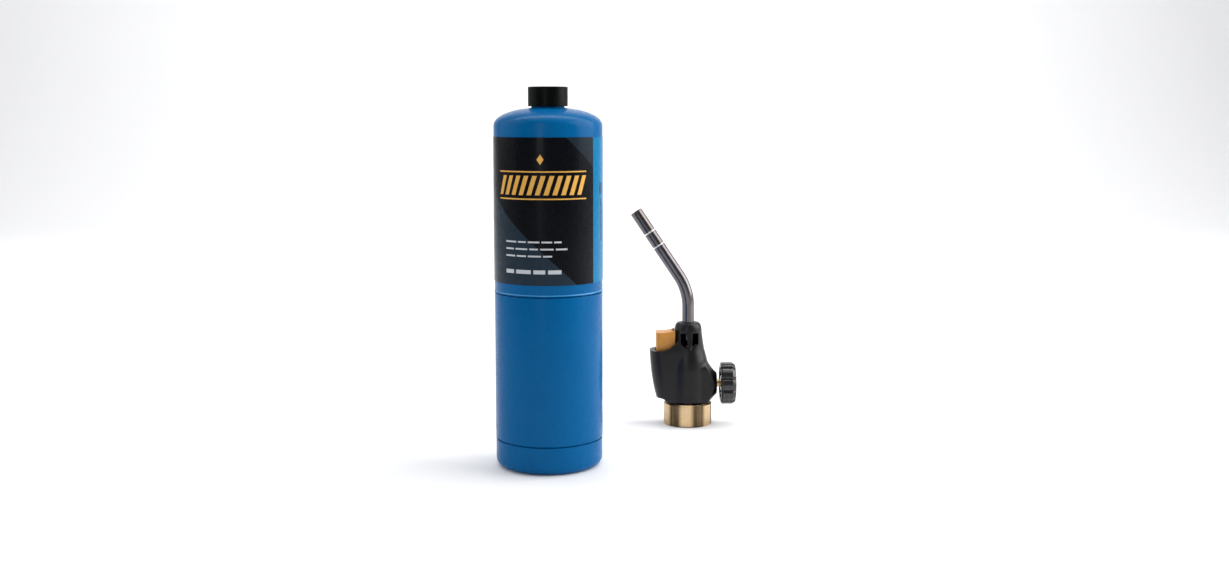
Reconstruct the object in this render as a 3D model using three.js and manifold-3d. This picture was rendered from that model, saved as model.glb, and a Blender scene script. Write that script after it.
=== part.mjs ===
// A propane hand-torch kit: the fuel cylinder with its dust cap on, and the torch head standing beside it.
// Millimetres, +Z up. The origin is on the standing surface, under the middle of the kit's outline.

import * as THREE from 'three';
import { mergeVertices } from 'three/addons/utils/BufferGeometryUtils.js';
import Module from 'manifold-3d';

const wasm = await Module();
wasm.setup();

// ---- driving dimensions ----

const HEAD_RIGHT = 103.4; // from the cylinder's axis to the head's axis, along X
const HEAD_BACK = 120; // and along Y

const GAP = 0.3; // between pieces that touch
const WELD = 1e-4; // vertices closer than this are one vertex

const CYLINDER = {
  radius: 37.5, // over the label
  shellRadius: 37.2,
  wall: 1.2,
  seam: 121.5, // height of the joint between the two drawn shells
  shoulder: 234, // height where the dome begins
  domeRise: 13.3,
  domePower: 2.3, // exponent of the dome's superellipse
  labelBottom: 129.5,
  labelTop: 227.5,
};
const FOOT = { radius: 37, top: 19.3, wall: 0.8, edge: 6, ringInner: 26.5, recess: 3 };
const NECK = { radius: 10, bottom: 243, thread: 12.5, threadBottom: 249.8, top: 259.5, well: 5, bore: 4 };
const PIN = { bottom: 247, poppet: 249.8, shaft: 1.1, top: 257.6 };
const RELIEF = { back: 19, radius: 3, bottom: 239, flange: 247.4, top: 249.5 };
const CAP = { radius: 13.6, wall: 0.75, bottom: 248, top: 261.3, edge: 0.7 };

const COLLAR = { radius: 18.7, height: 17.5, chamfer: 0.9, socket: 12.7, depth: 11.5, hole: 7 };
const VALVE = { axis: 31.8, column: 8, branch: 6.8, mouth: 17, chamber: 3.05, seat: 5, riser: 4, top: 54 };
const TUBE = {
  radius: 4.8,
  bore: 4.2,
  bottom: 66,
  corner: 105.7, // height where the straight centrelines would meet
  bend: 45, // radius of the bend's centreline
  lean: THREE.MathUtils.degToRad(33.8), // of the upper part, towards -X
  reach: 73.75, // from the corner to the tip
};
const TOWER_TOP = 80.4;
const HOUSING = {
  bottom: 18.3,
  wall: 2,
  split: 0.15, // half the joint between the two halves
  podDepth: 13.4, // half the pod's depth
  podSides: [[12.7, 14], [13.2, 30], [13.35, 45], [12.8, 58], [11.6, 67], [11, 80]], // half depth and height
  podLeft: -31,
  podRound: 9,
  face: 22.5, // the flat face that the valve stem comes out of
  faceHole: 5.7,
};
// outline of the round column and the tower on it: radius, height
const COLUMN = [
  [15.5, HOUSING.bottom], [16, 19.3], [16, 44], [15.3, 50.5], [14, 55.3], [12.65, 60],
  [11.6, 67], [10.9, 71.8], [10.6, 76.5], [9.3, 78.9], [8.2, TOWER_TOP],
];
// trumpet from the column to the stem's face, turned about the valve axis: radius, distance from the head's axis
const TRUMPET = [[18, 6], [18, 15.7], [14.6, 17.7], [12.1, 19.7], [10.2, 21.9], [9.2, HOUSING.face]];
const WINDOW = {
  bottom: 64.2, top: 72.4, sill: 59.4, depth: 9.2, out: 15, inside: 5, left: [-6.1, -1], right: [2.5, 7.4],
};
const SCREWS = [[-21.5, 24.8], [9.8, 46.5], [12.5, 22.7]]; // places of the housing screws: x, z
const SCREW = { post: 2.2, head: 2.1, shank: 1, seat: 8, cup: 3.1 };
const BUTTON = {
  left: -25.2,
  halfDepth: 8,
  hollow: 13.2, // radius of the hollow side that faces the tower
  bottom: 57,
  inside: 62,
  top: 72.8,
  high: 74.3, // the top rises to this beside the tower
  slope: -18.5, // the rise begins here
  wall: 1.6,
};
const PIEZO = { x: -19.2, bottom: 28, top: 46, size: 9, socket: 5.2, plunger: 4.4, plungerBottom: 42 };
const KNOB = { radius: 16.3, lobes: 10, groove: 15, back: 25.5, rim: 34.6, front: 37.3, phase: 13.5, recess: 5 };
const STEM = { radius: 2.95, start: 10.5, end: 33 };
const LEAD = { radius: 0.8, offset: 2.4 };

// ---- shapes ----

// A closed outline of [radius, height] pairs, turned about Z. It runs out, up and back in.
function turned(outline, segments = 16) {
  const points = outline.map(([radius, height]) => new THREE.Vector2(radius, height));
  const onAxis = outline[0][0] === 0;
  if (!onAxis) points.push(points[0].clone());
  return new THREE.LatheGeometry(points, segments).rotateX(Math.PI / 2);
}

function outline(points) {
  return new THREE.Shape(points.map(([x, y]) => new THREE.Vector2(x, y)));
}

function disc(radius, x = 0, y = 0) {
  const shape = new THREE.Shape();
  shape.absarc(x, y, radius, 0, 2 * Math.PI);
  return shape;
}

// A flat shape raised along Z, between two heights.
function raised(shape, from, to, curveSegments = 6) {
  const options = { depth: to - from, bevelEnabled: false, curveSegments };
  return new THREE.ExtrudeGeometry(shape, options).translate(0, 0, from);
}

// A shape drawn in X and Z, given depth along Y, between two places.
function frontal(shape, from, to, curveSegments = 6) {
  return raised(shape, -to, -from, curveSegments).rotateX(Math.PI / 2);
}

// A shape drawn in Y and Z, given length along X, between two places.
function sideways(shape, from, to) {
  const turn = new THREE.Matrix4().set(0, 0, 1, 0, 1, 0, 0, 0, 0, 1, 0, 0, 0, 0, 0, 1);
  return raised(shape, from, to).applyMatrix4(turn);
}

function rod(start, end, radius, segments = 10) {
  const along = new THREE.Vector3().subVectors(end, start);
  const geometry = new THREE.CylinderGeometry(radius, radius, along.length(), segments);
  const turn = new THREE.Quaternion().setFromUnitVectors(new THREE.Vector3(0, 1, 0), along.clone().normalize());
  geometry.applyQuaternion(turn);
  return geometry.translate(...start.clone().addScaledVector(along, 0.5).toArray());
}

function block(low, high) {
  const size = high.map((value, i) => value - low[i]);
  return new THREE.BoxGeometry(...size).translate(...low.map((value, i) => value + size[i] / 2));
}

function wire(path, radius, steps) {
  return new THREE.ExtrudeGeometry(disc(radius), { steps, extrudePath: path, curveSegments: 3 });
}

// The same outline moved inwards by the wall, for a hollow.
function shrunk(points, wall) {
  return points.map(([radius, height]) => [radius - wall, height]);
}

class Helix extends THREE.Curve {
  constructor(radius, bottom, top, turns) {
    super();
    Object.assign(this, { radius, bottom, top, turns });
  }

  getPoint(t) {
    const angle = 2 * Math.PI * this.turns * t;
    const height = this.bottom + (this.top - this.bottom) * t;
    return new THREE.Vector3(this.radius * Math.cos(angle), this.radius * Math.sin(angle), height);
  }
}

// The burn tube's centreline: straight up, round the bend, and straight on to the tip.
class TubePath extends THREE.Curve {
  getPoint(t) {
    const bendStart = TUBE.corner - TUBE.bend * Math.tan(TUBE.lean / 2);
    const first = 1 / 8;
    if (t < first) {
      return new THREE.Vector3(0, 0, THREE.MathUtils.lerp(TUBE.bottom, bendStart, t / first));
    }
    const angle = TUBE.lean * Math.min((t - first) / (1 - 2 * first), 1);
    const point = new THREE.Vector3(TUBE.bend * (Math.cos(angle) - 1), 0, bendStart + TUBE.bend * Math.sin(angle));
    return t > 1 - first ? point.lerp(tubeTip(), (t - 1 + first) / first) : point;
  }

  // Stations follow t itself, so that most of them fall in the bend.
  getUtoTmapping(u) {
    return u;
  }
}

function tubeTip() {
  const { corner, reach, lean } = TUBE;
  return new THREE.Vector3(-reach * Math.sin(lean), 0, corner + reach * Math.cos(lean));
}

// ---- joining and cutting ----

// Positions only, with shared vertices merged and empty triangles dropped.
function welded(geometry) {
  geometry.deleteAttribute('normal');
  geometry.deleteAttribute('uv');
  const merged = mergeVertices(geometry, WELD);
  const index = merged.index.array;
  const kept = [];
  for (let i = 0; i < index.length; i += 3) {
    const [a, b, c] = index.subarray(i, i + 3);
    if (a !== b && b !== c && c !== a) kept.push(a, b, c);
  }
  return merged.setIndex(kept);
}

function solid(geometry) {
  const { index, attributes } = welded(geometry);
  const vertProperties = new Float32Array(attributes.position.array);
  const triVerts = new Uint32Array(index.array);
  return new wasm.Manifold(new wasm.Mesh({ numProp: 3, vertProperties, triVerts }));
}

function joined(first, ...others) {
  return others.reduce((sum, geometry) => sum.add(solid(geometry)), solid(first));
}

function surface(manifold) {
  const mesh = manifold.getMesh();
  const geometry = new THREE.BufferGeometry();
  geometry.setAttribute('position', new THREE.BufferAttribute(mesh.vertProperties, 3));
  geometry.setIndex([...mesh.triVerts]);
  return geometry;
}

function cut(geometry, ...cutters) {
  return surface(solid(geometry).subtract(joined(...cutters)));
}

// ---- materials ----

const FINISHES = {
  blue_paint: [0x0f5a9c, 0.35, 0.3],
  label: [0x14181f, 0.3, 0],
  cap_plastic: [0x090a0a, 0.45, 0],
  brass: [0xbf9c62, 0.28, 1],
  steel: [0x9a9a9c, 0.35, 1],
  tube_steel: [0x5a5656, 0.3, 1],
  rubber: [0x141414, 0.8, 0],
  housing_plastic: [0x242124, 0.55, 0],
  orange_plastic: [0xd8860f, 0.45, 0],
  knob_plastic: [0x1c1c1e, 0.3, 0],
  igniter_plastic: [0x2c2c30, 0.6, 0],
  ceramic: [0xe8e2d4, 0.5, 0],
  lead_insulation: [0x8c2f22, 0.6, 0],
};

function piece(name, geometry, finish) {
  const [color, roughness, metalness] = FINISHES[finish];
  const mesh = new THREE.Mesh(welded(geometry), new THREE.MeshStandardMaterial({ color, roughness, metalness }));
  mesh.name = name;
  return mesh;
}

// ---- fuel cylinder ----

// The dome from the shoulder up to a radius, as a superellipse.
function dome(radius, rise, endRadius, steps) {
  const power = CYLINDER.domePower;
  const last = Math.acos((endRadius / radius) ** (power / 2));
  return Array.from({ length: steps + 1 }, (_, i) => {
    const angle = (last * i) / steps;
    const height = CYLINDER.shoulder + rise * Math.sin(angle) ** (2 / power);
    return [radius * Math.cos(angle) ** (2 / power), height];
  });
}

// The rounded bottom, from the axis out to a radius.
function bowl(radius, centre, depth, steps) {
  return Array.from({ length: steps + 1 }, (_, i) => {
    const angle = (Math.PI * i) / (2 * steps);
    return [radius * Math.sin(angle), centre - depth * Math.cos(angle)];
  });
}

function upperShell() {
  const { shellRadius, wall, seam, domeRise } = CYLINDER;
  const hole = NECK.radius + GAP;
  const outside = dome(shellRadius, domeRise, hole, 7);
  const inside = dome(shellRadius - wall, domeRise - wall, hole, 5).reverse();
  const edge = seam + 0.2;
  const shell = turned([[shellRadius, edge], ...outside, ...inside, [shellRadius - wall, edge]], 36);
  const reliefHole = raised(disc(RELIEF.radius + GAP, 0, RELIEF.back), CYLINDER.shoulder, NECK.top);
  return cut(shell, reliefHole);
}

function lowerShell() {
  const { shellRadius, wall, seam } = CYLINDER;
  const outer = FOOT.radius - FOOT.wall - GAP; // where the foot cup grips the shell
  const inner = shellRadius - wall;
  const lip = inner - 0.2; // the joggled edge inside the upper shell
  const bottom = bowl(outer, 18, 12, 5);
  const floor = bowl(outer - wall, 18, 12 - wall, 4).reverse();
  const side = [
    [outer, 19.2], [shellRadius, 19.8], [shellRadius, seam - 0.2], [lip, seam],
    [lip, seam + 5.5], [lip - wall, seam + 5.5], [lip - wall, seam - 2.5], [inner, seam - 4.5], [inner, 21.5],
  ];
  return turned([...bottom, ...side, ...floor], 36);
}

function footCup() {
  const { radius, top, wall, edge, ringInner, recess } = FOOT;
  const rounding = (inset) => [0, 30, 60, 90].map((degrees) => {
    const angle = THREE.MathUtils.degToRad(degrees);
    const r = edge - inset;
    return [radius - edge + r * Math.sin(angle), edge - r * Math.cos(angle)];
  });
  const underside = [[0, recess], [ringInner - 2.5, recess], [ringInner, 0], ...rounding(0)];
  const inside = [...rounding(wall).reverse(), [ringInner + 0.4, wall], [ringInner - 2, recess + wall]];
  return turned([...underside, [radius, top], [radius - wall, top], ...inside, [0, recess + wall]], 36);
}

function label() {
  const { radius, shellRadius, labelBottom, labelTop } = CYLINDER;
  const inner = shellRadius + 0.05;
  return turned([[inner, labelBottom], [radius, labelBottom], [radius, labelTop], [inner, labelTop]], 36);
}

function valveNeck() {
  const { radius, bottom, thread, threadBottom, top, well, bore } = NECK;
  return turned([
    [radius, bottom], [radius, threadBottom - 1.2], [thread, threadBottom], [thread, top - 0.8], [thread - 0.7, top],
    [well, top], [well, 256], [bore, 256], [bore, bottom],
  ], 24);
}

function valveCore() {
  const r = NECK.bore - 0.1;
  return turned([
    [r, 244], [r, 255.8], [1.3, 255.8], [1.3, 252], [2.7, 252], [2.7, 245], [1.5, 245], [1.5, 244],
  ]);
}

function valvePin() {
  const { bottom, poppet, shaft, top } = PIN;
  return turned([
    [0, bottom], [1, bottom], [1, poppet], [2.3, poppet], [2.3, poppet + 1.9], [shaft, poppet + 1.9],
    [shaft, top - 0.3], [shaft - 0.3, top], [0, top],
  ], 12);
}

function reliefValve() {
  const { radius, bottom, flange, top, back } = RELIEF;
  return turned([
    [0, bottom], [radius, bottom], [radius, flange], [radius + 1.2, flange], [radius + 1.2, flange + 0.8],
    [radius - 0.5, flange + 0.8], [radius - 0.5, top], [0, top],
  ], 12).translate(0, back, 0);
}

function dustCap() {
  const { radius, wall, bottom, top, edge } = CAP;
  const inner = radius - wall;
  return turned([
    [0, top - 1.1], [inner, top - 1.1], [inner, bottom], [radius, bottom], [radius, top - edge],
    [radius - edge, top], [0, top],
  ], 32);
}

function fuelCylinder() {
  const sealWasher = turned([[1.6, 256.1], [4.8, 256.1], [4.8, 257.2], [1.6, 257.2]]);
  const spring = wire(new Helix(1.8, 245.6, PIN.poppet - 0.4, 4), 0.25, 40);
  const group = new THREE.Group();
  group.add(
    piece('cylinder_upper_shell', upperShell(), 'blue_paint'),
    piece('cylinder_lower_shell', lowerShell(), 'blue_paint'),
    piece('cylinder_foot_cup', footCup(), 'blue_paint'),
    piece('cylinder_label', label(), 'label'),
    piece('cylinder_valve_neck', valveNeck(), 'brass'),
    piece('cylinder_valve_core', valveCore(), 'brass'),
    piece('cylinder_valve_pin', valvePin(), 'steel'),
    piece('cylinder_valve_spring', spring, 'steel'),
    piece('cylinder_valve_washer', sealWasher, 'rubber'),
    piece('cylinder_relief_valve', reliefValve(), 'brass'),
    piece('cylinder_dust_cap', dustCap(), 'cap_plastic'),
  );
  return group;
}

// ---- torch head: gas path ----

function inletCollar() {
  const { radius, height, chamfer, socket, depth, hole } = COLLAR;
  return turned([
    [socket + 0.8, 0], [radius - chamfer, 0], [radius, chamfer], [radius, height - chamfer],
    [radius - chamfer, height], [hole, height], [hole, depth], [socket, depth], [socket, 0.8],
  ], 32);
}

// A cast column with a branch for the stem, bored for the gas.
function valveBody() {
  const { axis, column, branch, mouth, chamber, seat, riser, top } = VALVE;
  const nose = 3.5;
  const spigot = COLLAR.hole - 0.2;
  const upright = turned([
    [0, 8], [nose, 8], [nose, COLLAR.depth], [spigot, COLLAR.depth], [spigot, 18.6], [column, 18.6],
    [column, 42], [riser, 48], [riser, top], [0, top],
  ], 20);
  const at = (x, z) => new THREE.Vector3(x, 0, z);
  const casting = joined(upright, rod(at(0, axis), at(mouth, axis), branch, 20));
  const passages = joined(
    rod(at(0, 7), at(0, 15), 2.6),
    rod(at(0, 14), at(0, axis), 1.5),
    rod(at(-1, axis), at(seat + 1, axis), 1),
    rod(at(seat, axis), at(mouth + 1, axis), chamber, 24),
    rod(at(mouth - 1.3, axis), at(mouth + 1, axis), 4.7, 24),
    rod(at(seat + 2, axis + 1.5), at(0, 50), 1),
    rod(at(0, 49), at(0, top + 1), 2.3),
  );
  return surface(casting.subtract(passages));
}

function depressorPin() {
  return turned([
    [0, 5.2], [0.8, 5.2], [1.2, 5.6], [1.2, 11], [2.3, 11], [2.3, 12.5], [0, 12.5],
  ], 12);
}

function gasJet() {
  const { top } = VALVE;
  return turned([
    [2.1, 49.6], [2.1, top + GAP], [3.2, top + GAP], [3.2, 58], [1.4, 62], [0.4, 62], [0.4, 56], [1.2, 55],
    [1.2, 49.6],
  ], 12);
}

function burnTube() {
  const section = disc(TUBE.radius);
  section.holes.push(disc(TUBE.bore));
  return new THREE.ExtrudeGeometry(section, { steps: 8, extrudePath: new TubePath(), curveSegments: 8 });
}

// The insert between the two crimps: a long plug with a ring of gas holes and a slot for the insulator.
function flameHolder() {
  const plug = disc(TUBE.bore - 0.2);
  plug.holes.push(disc(0.8));
  plug.holes.push(disc(1.45, -LEAD.offset));
  for (const degrees of [-100, -50, 0, 50, 100]) {
    const angle = THREE.MathUtils.degToRad(degrees);
    plug.holes.push(disc(0.75, 2.5 * Math.cos(angle), 2.5 * Math.sin(angle)));
  }
  return raised(plug, -33, -18, 8);
}

function insulator() {
  return turned([[0.55, -36], [1.3, -36], [1.3, -12], [0.55, -12]], 12).translate(-LEAD.offset, 0, 0);
}

function electrode() {
  const route = [[-LEAD.offset, -35], [-LEAD.offset, -20], [-LEAD.offset, -11.6], [-1.9, -10], [-0.4, -8.6]];
  const path = new THREE.CatmullRomCurve3(route.map(([x, z]) => new THREE.Vector3(x, 0, z)), false, 'centripetal');
  return wire(path, 0.4, 10);
}

// From the igniter, over the valve and up inside the burn tube to the insulator.
function ignitionLead() {
  const right = PIEZO.x + PIEZO.size / 2 + 2 * GAP;
  const side = -LEAD.offset;
  const bendStart = TUBE.corner - TUBE.bend * Math.tan(TUBE.lean / 2);
  const points = [
    [right, 33], [right + 1, 33.3], [-11.4, 36], [-11.2, 46], [-8.6, 56], [-4.4, 62.4], [side, 68], [side, 80], [side, bendStart],
  ];
  for (const part of [1 / 3, 2 / 3, 1]) {
    const angle = TUBE.lean * part;
    const radius = TUBE.bend + side;
    points.push([radius * Math.cos(angle) - TUBE.bend, bendStart + radius * Math.sin(angle)]);
  }
  const across = new THREE.Vector2(Math.cos(TUBE.lean), Math.sin(TUBE.lean)).multiplyScalar(side);
  const end = TUBE.reach - 36.4;
  points.push([across.x - end * Math.sin(TUBE.lean), across.y + TUBE.corner + end * Math.cos(TUBE.lean)]);
  const path = new THREE.CatmullRomCurve3(points.map(([x, z]) => new THREE.Vector3(x, 0, z)), false, 'centripetal');
  return wire(path, LEAD.radius, 26);
}

// Pieces at the tube's tip, drawn with +Z out of the mouth.
function tubeTipGroup() {
  const group = new THREE.Group();
  group.position.copy(tubeTip());
  group.rotation.y = -TUBE.lean;
  group.add(
    piece('flame_holder', flameHolder(), 'brass'),
    piece('electrode_insulator', insulator(), 'ceramic'),
    piece('spark_electrode', electrode(), 'steel'),
  );
  return group;
}

// ---- torch head: flow valve, drawn with +Z along the stem ----

function needle() {
  return turned([[0, 3.5], [0.2, 3.5], [0.9, VALVE.seat], [1.9, 7.2], [1.9, 10.2], [0, 10.2]], 12);
}

function valveStem() {
  const { radius, start, end } = STEM;
  return turned([[0, start], [radius, start], [radius, end], [0.95, end], [0.95, 26], [0, 26]], 24);
}

function packingNut() {
  const corner = 5.5;
  const hex = outline([0, 1, 2, 3, 4, 5].map((i) => {
    const angle = (Math.PI * i) / 3;
    return [corner * Math.cos(angle), corner * Math.sin(angle)];
  }));
  hex.holes.push(disc(STEM.radius + 0.15));
  return raised(hex, VALVE.mouth + GAP, 21, 12);
}

// A lobed rim, turned to its profile, with a bore for the stem and a recess for the screw.
function flowKnob() {
  const { radius, lobes, groove, back, rim, front, phase, recess } = KNOB;
  const pitch = 360 / lobes;
  const points = [];
  for (let i = 0; i < lobes; i += 1) {
    const stations = [[radius, 5], [radius, pitch / 2], [radius, pitch - 5], [groove, pitch - 1.5], [groove, pitch + 1.5]];
    for (const [r, degrees] of stations) {
      const angle = THREE.MathUtils.degToRad(i * pitch + degrees + phase + 90);
      points.push([r * Math.cos(angle), r * Math.sin(angle)]);
    }
  }
  const bore = STEM.radius + 0.1;
  const profile = turned([
    [bore, back], [radius - 0.9, back], [radius + 0.1, back + 0.9], [radius + 0.1, rim], [radius - 1, front - 0.5],
    [radius - 2.8, front], [recess, front], [recess, STEM.end + 1.2], [1.2, STEM.end + 1.2],
    [1.2, STEM.end + 0.2], [bore, STEM.end + 0.2],
  ], 40);
  return surface(solid(raised(outline(points), back - 1, front + 1)).intersect(solid(profile)));
}

function knobScrew() {
  const seat = STEM.end + 1.4;
  return turned([[0, 27], [0.85, 27], [0.85, seat], [3, seat], [3, seat + 1.4], [2.2, seat + 2], [0, seat + 2]], 12);
}

function flowValveGroup() {
  const sealRing = turned([[3.1, 15.95], [4.5, 15.95], [4.5, 17], [3.1, 17]]);
  const group = new THREE.Group();
  group.position.z = VALVE.axis;
  group.rotation.y = Math.PI / 2;
  group.add(
    piece('valve_needle', needle(), 'steel'),
    piece('valve_stem', valveStem(), 'brass'),
    piece('stem_seal_ring', sealRing, 'rubber'),
    piece('packing_nut', packingNut(), 'brass'),
    piece('flow_knob', flowKnob(), 'knob_plastic'),
    piece('knob_screw', knobScrew(), 'steel'),
  );
  return group;
}

// ---- torch head: igniter ----

// The button seen from above: round on the left, hollow where it passes the tower.
function buttonPlan(grow) {
  const { left, halfDepth, hollow } = BUTTON;
  const y = halfDepth + grow;
  const r = hollow - grow;
  const half = Math.asin(y / r);
  const corner = 3 + grow;
  const shape = new THREE.Shape();
  shape.moveTo(left - grow + corner, -y);
  shape.lineTo(-r * Math.cos(half), -y);
  shape.absarc(0, 0, r, Math.PI + half, Math.PI - half, true);
  shape.lineTo(left - grow + corner, y);
  shape.absarc(left - grow + corner, y - corner, corner, Math.PI / 2, Math.PI);
  shape.absarc(left - grow + corner, corner - y, corner, Math.PI, 1.5 * Math.PI);
  return shape;
}

function ignitionButton() {
  const { left, bottom, inside, top, high, slope, wall, halfDepth, hollow } = BUTTON;
  const side = outline([
    [left - 1, bottom], [-halfDepth, bottom], [-halfDepth, high], [1 - hollow, high], [slope, top], [left - 1, top],
  ]);
  const shape = solid(raised(buttonPlan(0), bottom, high + 1)).intersect(solid(frontal(side, -20, 20)));
  return surface(shape.subtract(solid(raised(buttonPlan(-wall), bottom - 1, inside))));
}

function piezoBody() {
  const { x, bottom, top, size, socket } = PIEZO;
  const box = block([x - size / 2, -size / 2, bottom], [x + size / 2, size / 2, top]);
  return cut(box, block([x - socket / 2, -socket / 2, bottom + 6], [x + socket / 2, socket / 2, top + 1]));
}

function piezoPlunger() {
  const { x, plunger, plungerBottom } = PIEZO;
  const half = plunger / 2;
  return block([x - half, -half, plungerBottom], [x + half, half, BUTTON.inside - GAP]);
}

function buttonSpring() {
  const path = new Helix(3.5, PIEZO.top + 0.6, BUTTON.inside - 0.6, 5);
  return wire(path, 0.3, 50).translate(PIEZO.x, 0, 0);
}

// ---- torch head: housing ----

// The pod under the button, seen from the front, moved in by the wall for its hollow.
function podOutline(wall) {
  const shape = new THREE.Shape();
  shape.moveTo(0, HOUSING.bottom + wall);
  shape.lineTo(-15.5, HOUSING.bottom + wall);
  shape.lineTo(-18 + wall, 20.2 + wall);
  shape.lineTo(-24.2 + wall, 21.6 + wall);
  shape.lineTo(-25.1 + wall, 22.6 + wall);
  shape.quadraticCurveTo(-30.1 + wall, 42, -30 + wall, 57.6 - wall);
  shape.lineTo(-29.4 + wall, 58.5 - wall);
  shape.lineTo(-19.3, 59 - wall);
  shape.quadraticCurveTo(-13.2, 60.2 - wall, -8, 66.7 - wall);
  shape.lineTo(0, 66.7 - wall);
  return shape;
}

// The housing below the tower, seen from above.
function plan(wall) {
  const left = HOUSING.podLeft + wall;
  const depth = HOUSING.podDepth - wall;
  const { podRound: round, face } = HOUSING;
  const shape = new THREE.Shape();
  shape.moveTo(left + round, -depth);
  shape.lineTo(8, -depth);
  shape.lineTo(face, -9 + wall / 2);
  shape.lineTo(face, 9 - wall / 2);
  shape.lineTo(8, depth);
  shape.lineTo(left + round, depth);
  shape.absarc(left + round, depth - round, round, Math.PI / 2, Math.PI);
  shape.absarc(left + round, round - depth, round, Math.PI, 1.5 * Math.PI);
  return shape;
}

// The pod seen along X: its half depth swells a little and then narrows towards the scoop.
function taper(wall) {
  const { podSides } = HOUSING;
  const near = podSides.map(([depth, z]) => [wall - depth, z]);
  const far = podSides.map(([depth, z]) => [depth - wall, z]).reverse();
  return outline([...near, ...far]);
}

// Everything above the sloping lower edge of the stem's face.
function aboveLowerEdge() {
  const { bottom, face } = HOUSING;
  return outline([[0, bottom], [15.7, bottom], [16.7, 19.6], [face + 0.1, 23], [face + 0.1, 60], [0, 60]]);
}

function housingOutside() {
  const top = COLUMN[COLUMN.length - 1][1];
  const column = turned([[0, HOUSING.bottom], ...COLUMN, [0, top]], 24);
  const trumpet = turned([[0, TRUMPET[0][1]], ...TRUMPET, [0, HOUSING.face]], 24);
  trumpet.rotateY(Math.PI / 2).translate(0, 0, VALVE.axis);
  const clipped = solid(trumpet).intersect(solid(frontal(aboveLowerEdge(), -30, 30)));
  const lobes = clipped.add(solid(frontal(podOutline(0), -20, 20)));
  const tapered = lobes.intersect(solid(raised(plan(0), 0, 90, 3))).intersect(solid(sideways(taper(0), -40, 40)));
  return tapered.add(solid(column));
}

function screwPosts() {
  return SCREWS.flatMap(([x, z]) => {
    const at = (y) => new THREE.Vector3(x, y, z);
    return [rod(at(-20), at(20), SCREW.post), rod(at(SCREW.seat - 1), at(20), SCREW.cup)];
  });
}

function housingHollow() {
  const { wall, bottom, face } = HOUSING;
  const at = (x, z) => new THREE.Vector3(x, 0, z);
  const sides = shrunk(COLUMN.slice(1, 8), wall);
  sides[0][1] = bottom + wall;
  const column = turned([[0, bottom + wall], ...sides, [8.6, 74.5], [0, 74.5]], 24);
  const pod = solid(frontal(podOutline(wall), -20, 20))
    .intersect(solid(raised(plan(wall), 0, 90, 3)))
    .intersect(solid(sideways(taper(wall), -40, 40)));
  const branch = rod(at(0, VALVE.axis), at(face - wall, VALVE.axis), 8, 20);
  return joined(column, branch).add(pod).subtract(joined(...screwPosts()));
}

// Two air inlets with sloping sills at the front of the tower, with a rib between them.
function airInlets() {
  const { bottom, top, sill, depth, out, inside, left, right } = WINDOW;
  const slope = outline([[-depth, bottom + 2], [-out, bottom + 2], [-out, sill - 1.5], [-depth, bottom]]);
  return [left, right].flatMap(([from, to]) => [
    block([from, -out, bottom], [to, -inside, top]),
    sideways(slope, from, to),
  ]);
}

function housingOpenings() {
  const { bottom, face, faceHole } = HOUSING;
  const at = (x, y, z) => new THREE.Vector3(x, y, z);
  const screwHoles = SCREWS.flatMap(([x, z]) => [
    rod(at(x, -9, z), at(x, SCREW.seat + 1, z), SCREW.shank + 0.2),
    rod(at(x, SCREW.seat, z), at(x, 20, z), SCREW.head + GAP),
  ]);
  return joined(
    rod(at(0, 0, bottom - 1), at(0, 0, bottom + 3), VALVE.column + 2, 20),
    rod(at(0, 0, 70), at(0, 0, TOWER_TOP + 1), TUBE.radius + GAP, 16),
    rod(at(face - 3, 0, VALVE.axis), at(face + 1, 0, VALVE.axis), faceHole, 20),
    raised(buttonPlan(0.5), 50, 80),
    ...airInlets(),
    ...screwHoles,
  );
}

function housingHalves() {
  const casing = housingOutside().subtract(housingHollow()).subtract(housingOpenings());
  const { split } = HOUSING;
  const front = casing.intersect(solid(block([-40, -40, 0], [40, -split, 100])));
  const back = casing.intersect(solid(block([-40, split, 0], [40, 40, 100])));
  return [surface(front), surface(back)];
}

// Head at +Y, shank towards -Y.
function housingScrew(x, z) {
  const { head, shank, seat } = SCREW;
  const shape = turned([
    [0, -8], [shank, -8], [shank, seat + GAP], [head, seat + GAP], [head, seat + 1.6], [head - 0.6, seat + 2.2],
    [0, seat + 2.2],
  ], 12);
  return shape.rotateX(-Math.PI / 2).translate(x, 0, z);
}

function torchHead() {
  const [front, back] = housingHalves();
  const inletSeal = turned([[3.8, 10.1], [6.5, 10.1], [6.5, 11.2], [3.8, 11.2]]);
  const filter = turned([[0, 12.8], [2.3, 12.8], [2.3, 14.8], [0, 14.8]], 12);
  const group = new THREE.Group();
  group.add(
    piece('inlet_collar', inletCollar(), 'brass'),
    piece('inlet_seal', inletSeal, 'rubber'),
    piece('valve_body', valveBody(), 'brass'),
    piece('depressor_pin', depressorPin(), 'brass'),
    piece('inlet_filter', filter, 'steel'),
    piece('gas_jet', gasJet(), 'brass'),
    piece('burn_tube', burnTube(), 'tube_steel'),
    piece('ignition_lead', ignitionLead(), 'lead_insulation'),
    piece('housing_front', front, 'housing_plastic'),
    piece('housing_back', back, 'housing_plastic'),
    piece('ignition_button', ignitionButton(), 'orange_plastic'),
    piece('button_spring', buttonSpring(), 'steel'),
    piece('piezo_body', piezoBody(), 'igniter_plastic'),
    piece('piezo_plunger', piezoPlunger(), 'igniter_plastic'),
    tubeTipGroup(),
    flowValveGroup(),
  );
  SCREWS.forEach(([x, z], i) => group.add(piece(`housing_screw_${i + 1}`, housingScrew(x, z), 'steel')));
  return group;
}

// ---- the kit ----

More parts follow.
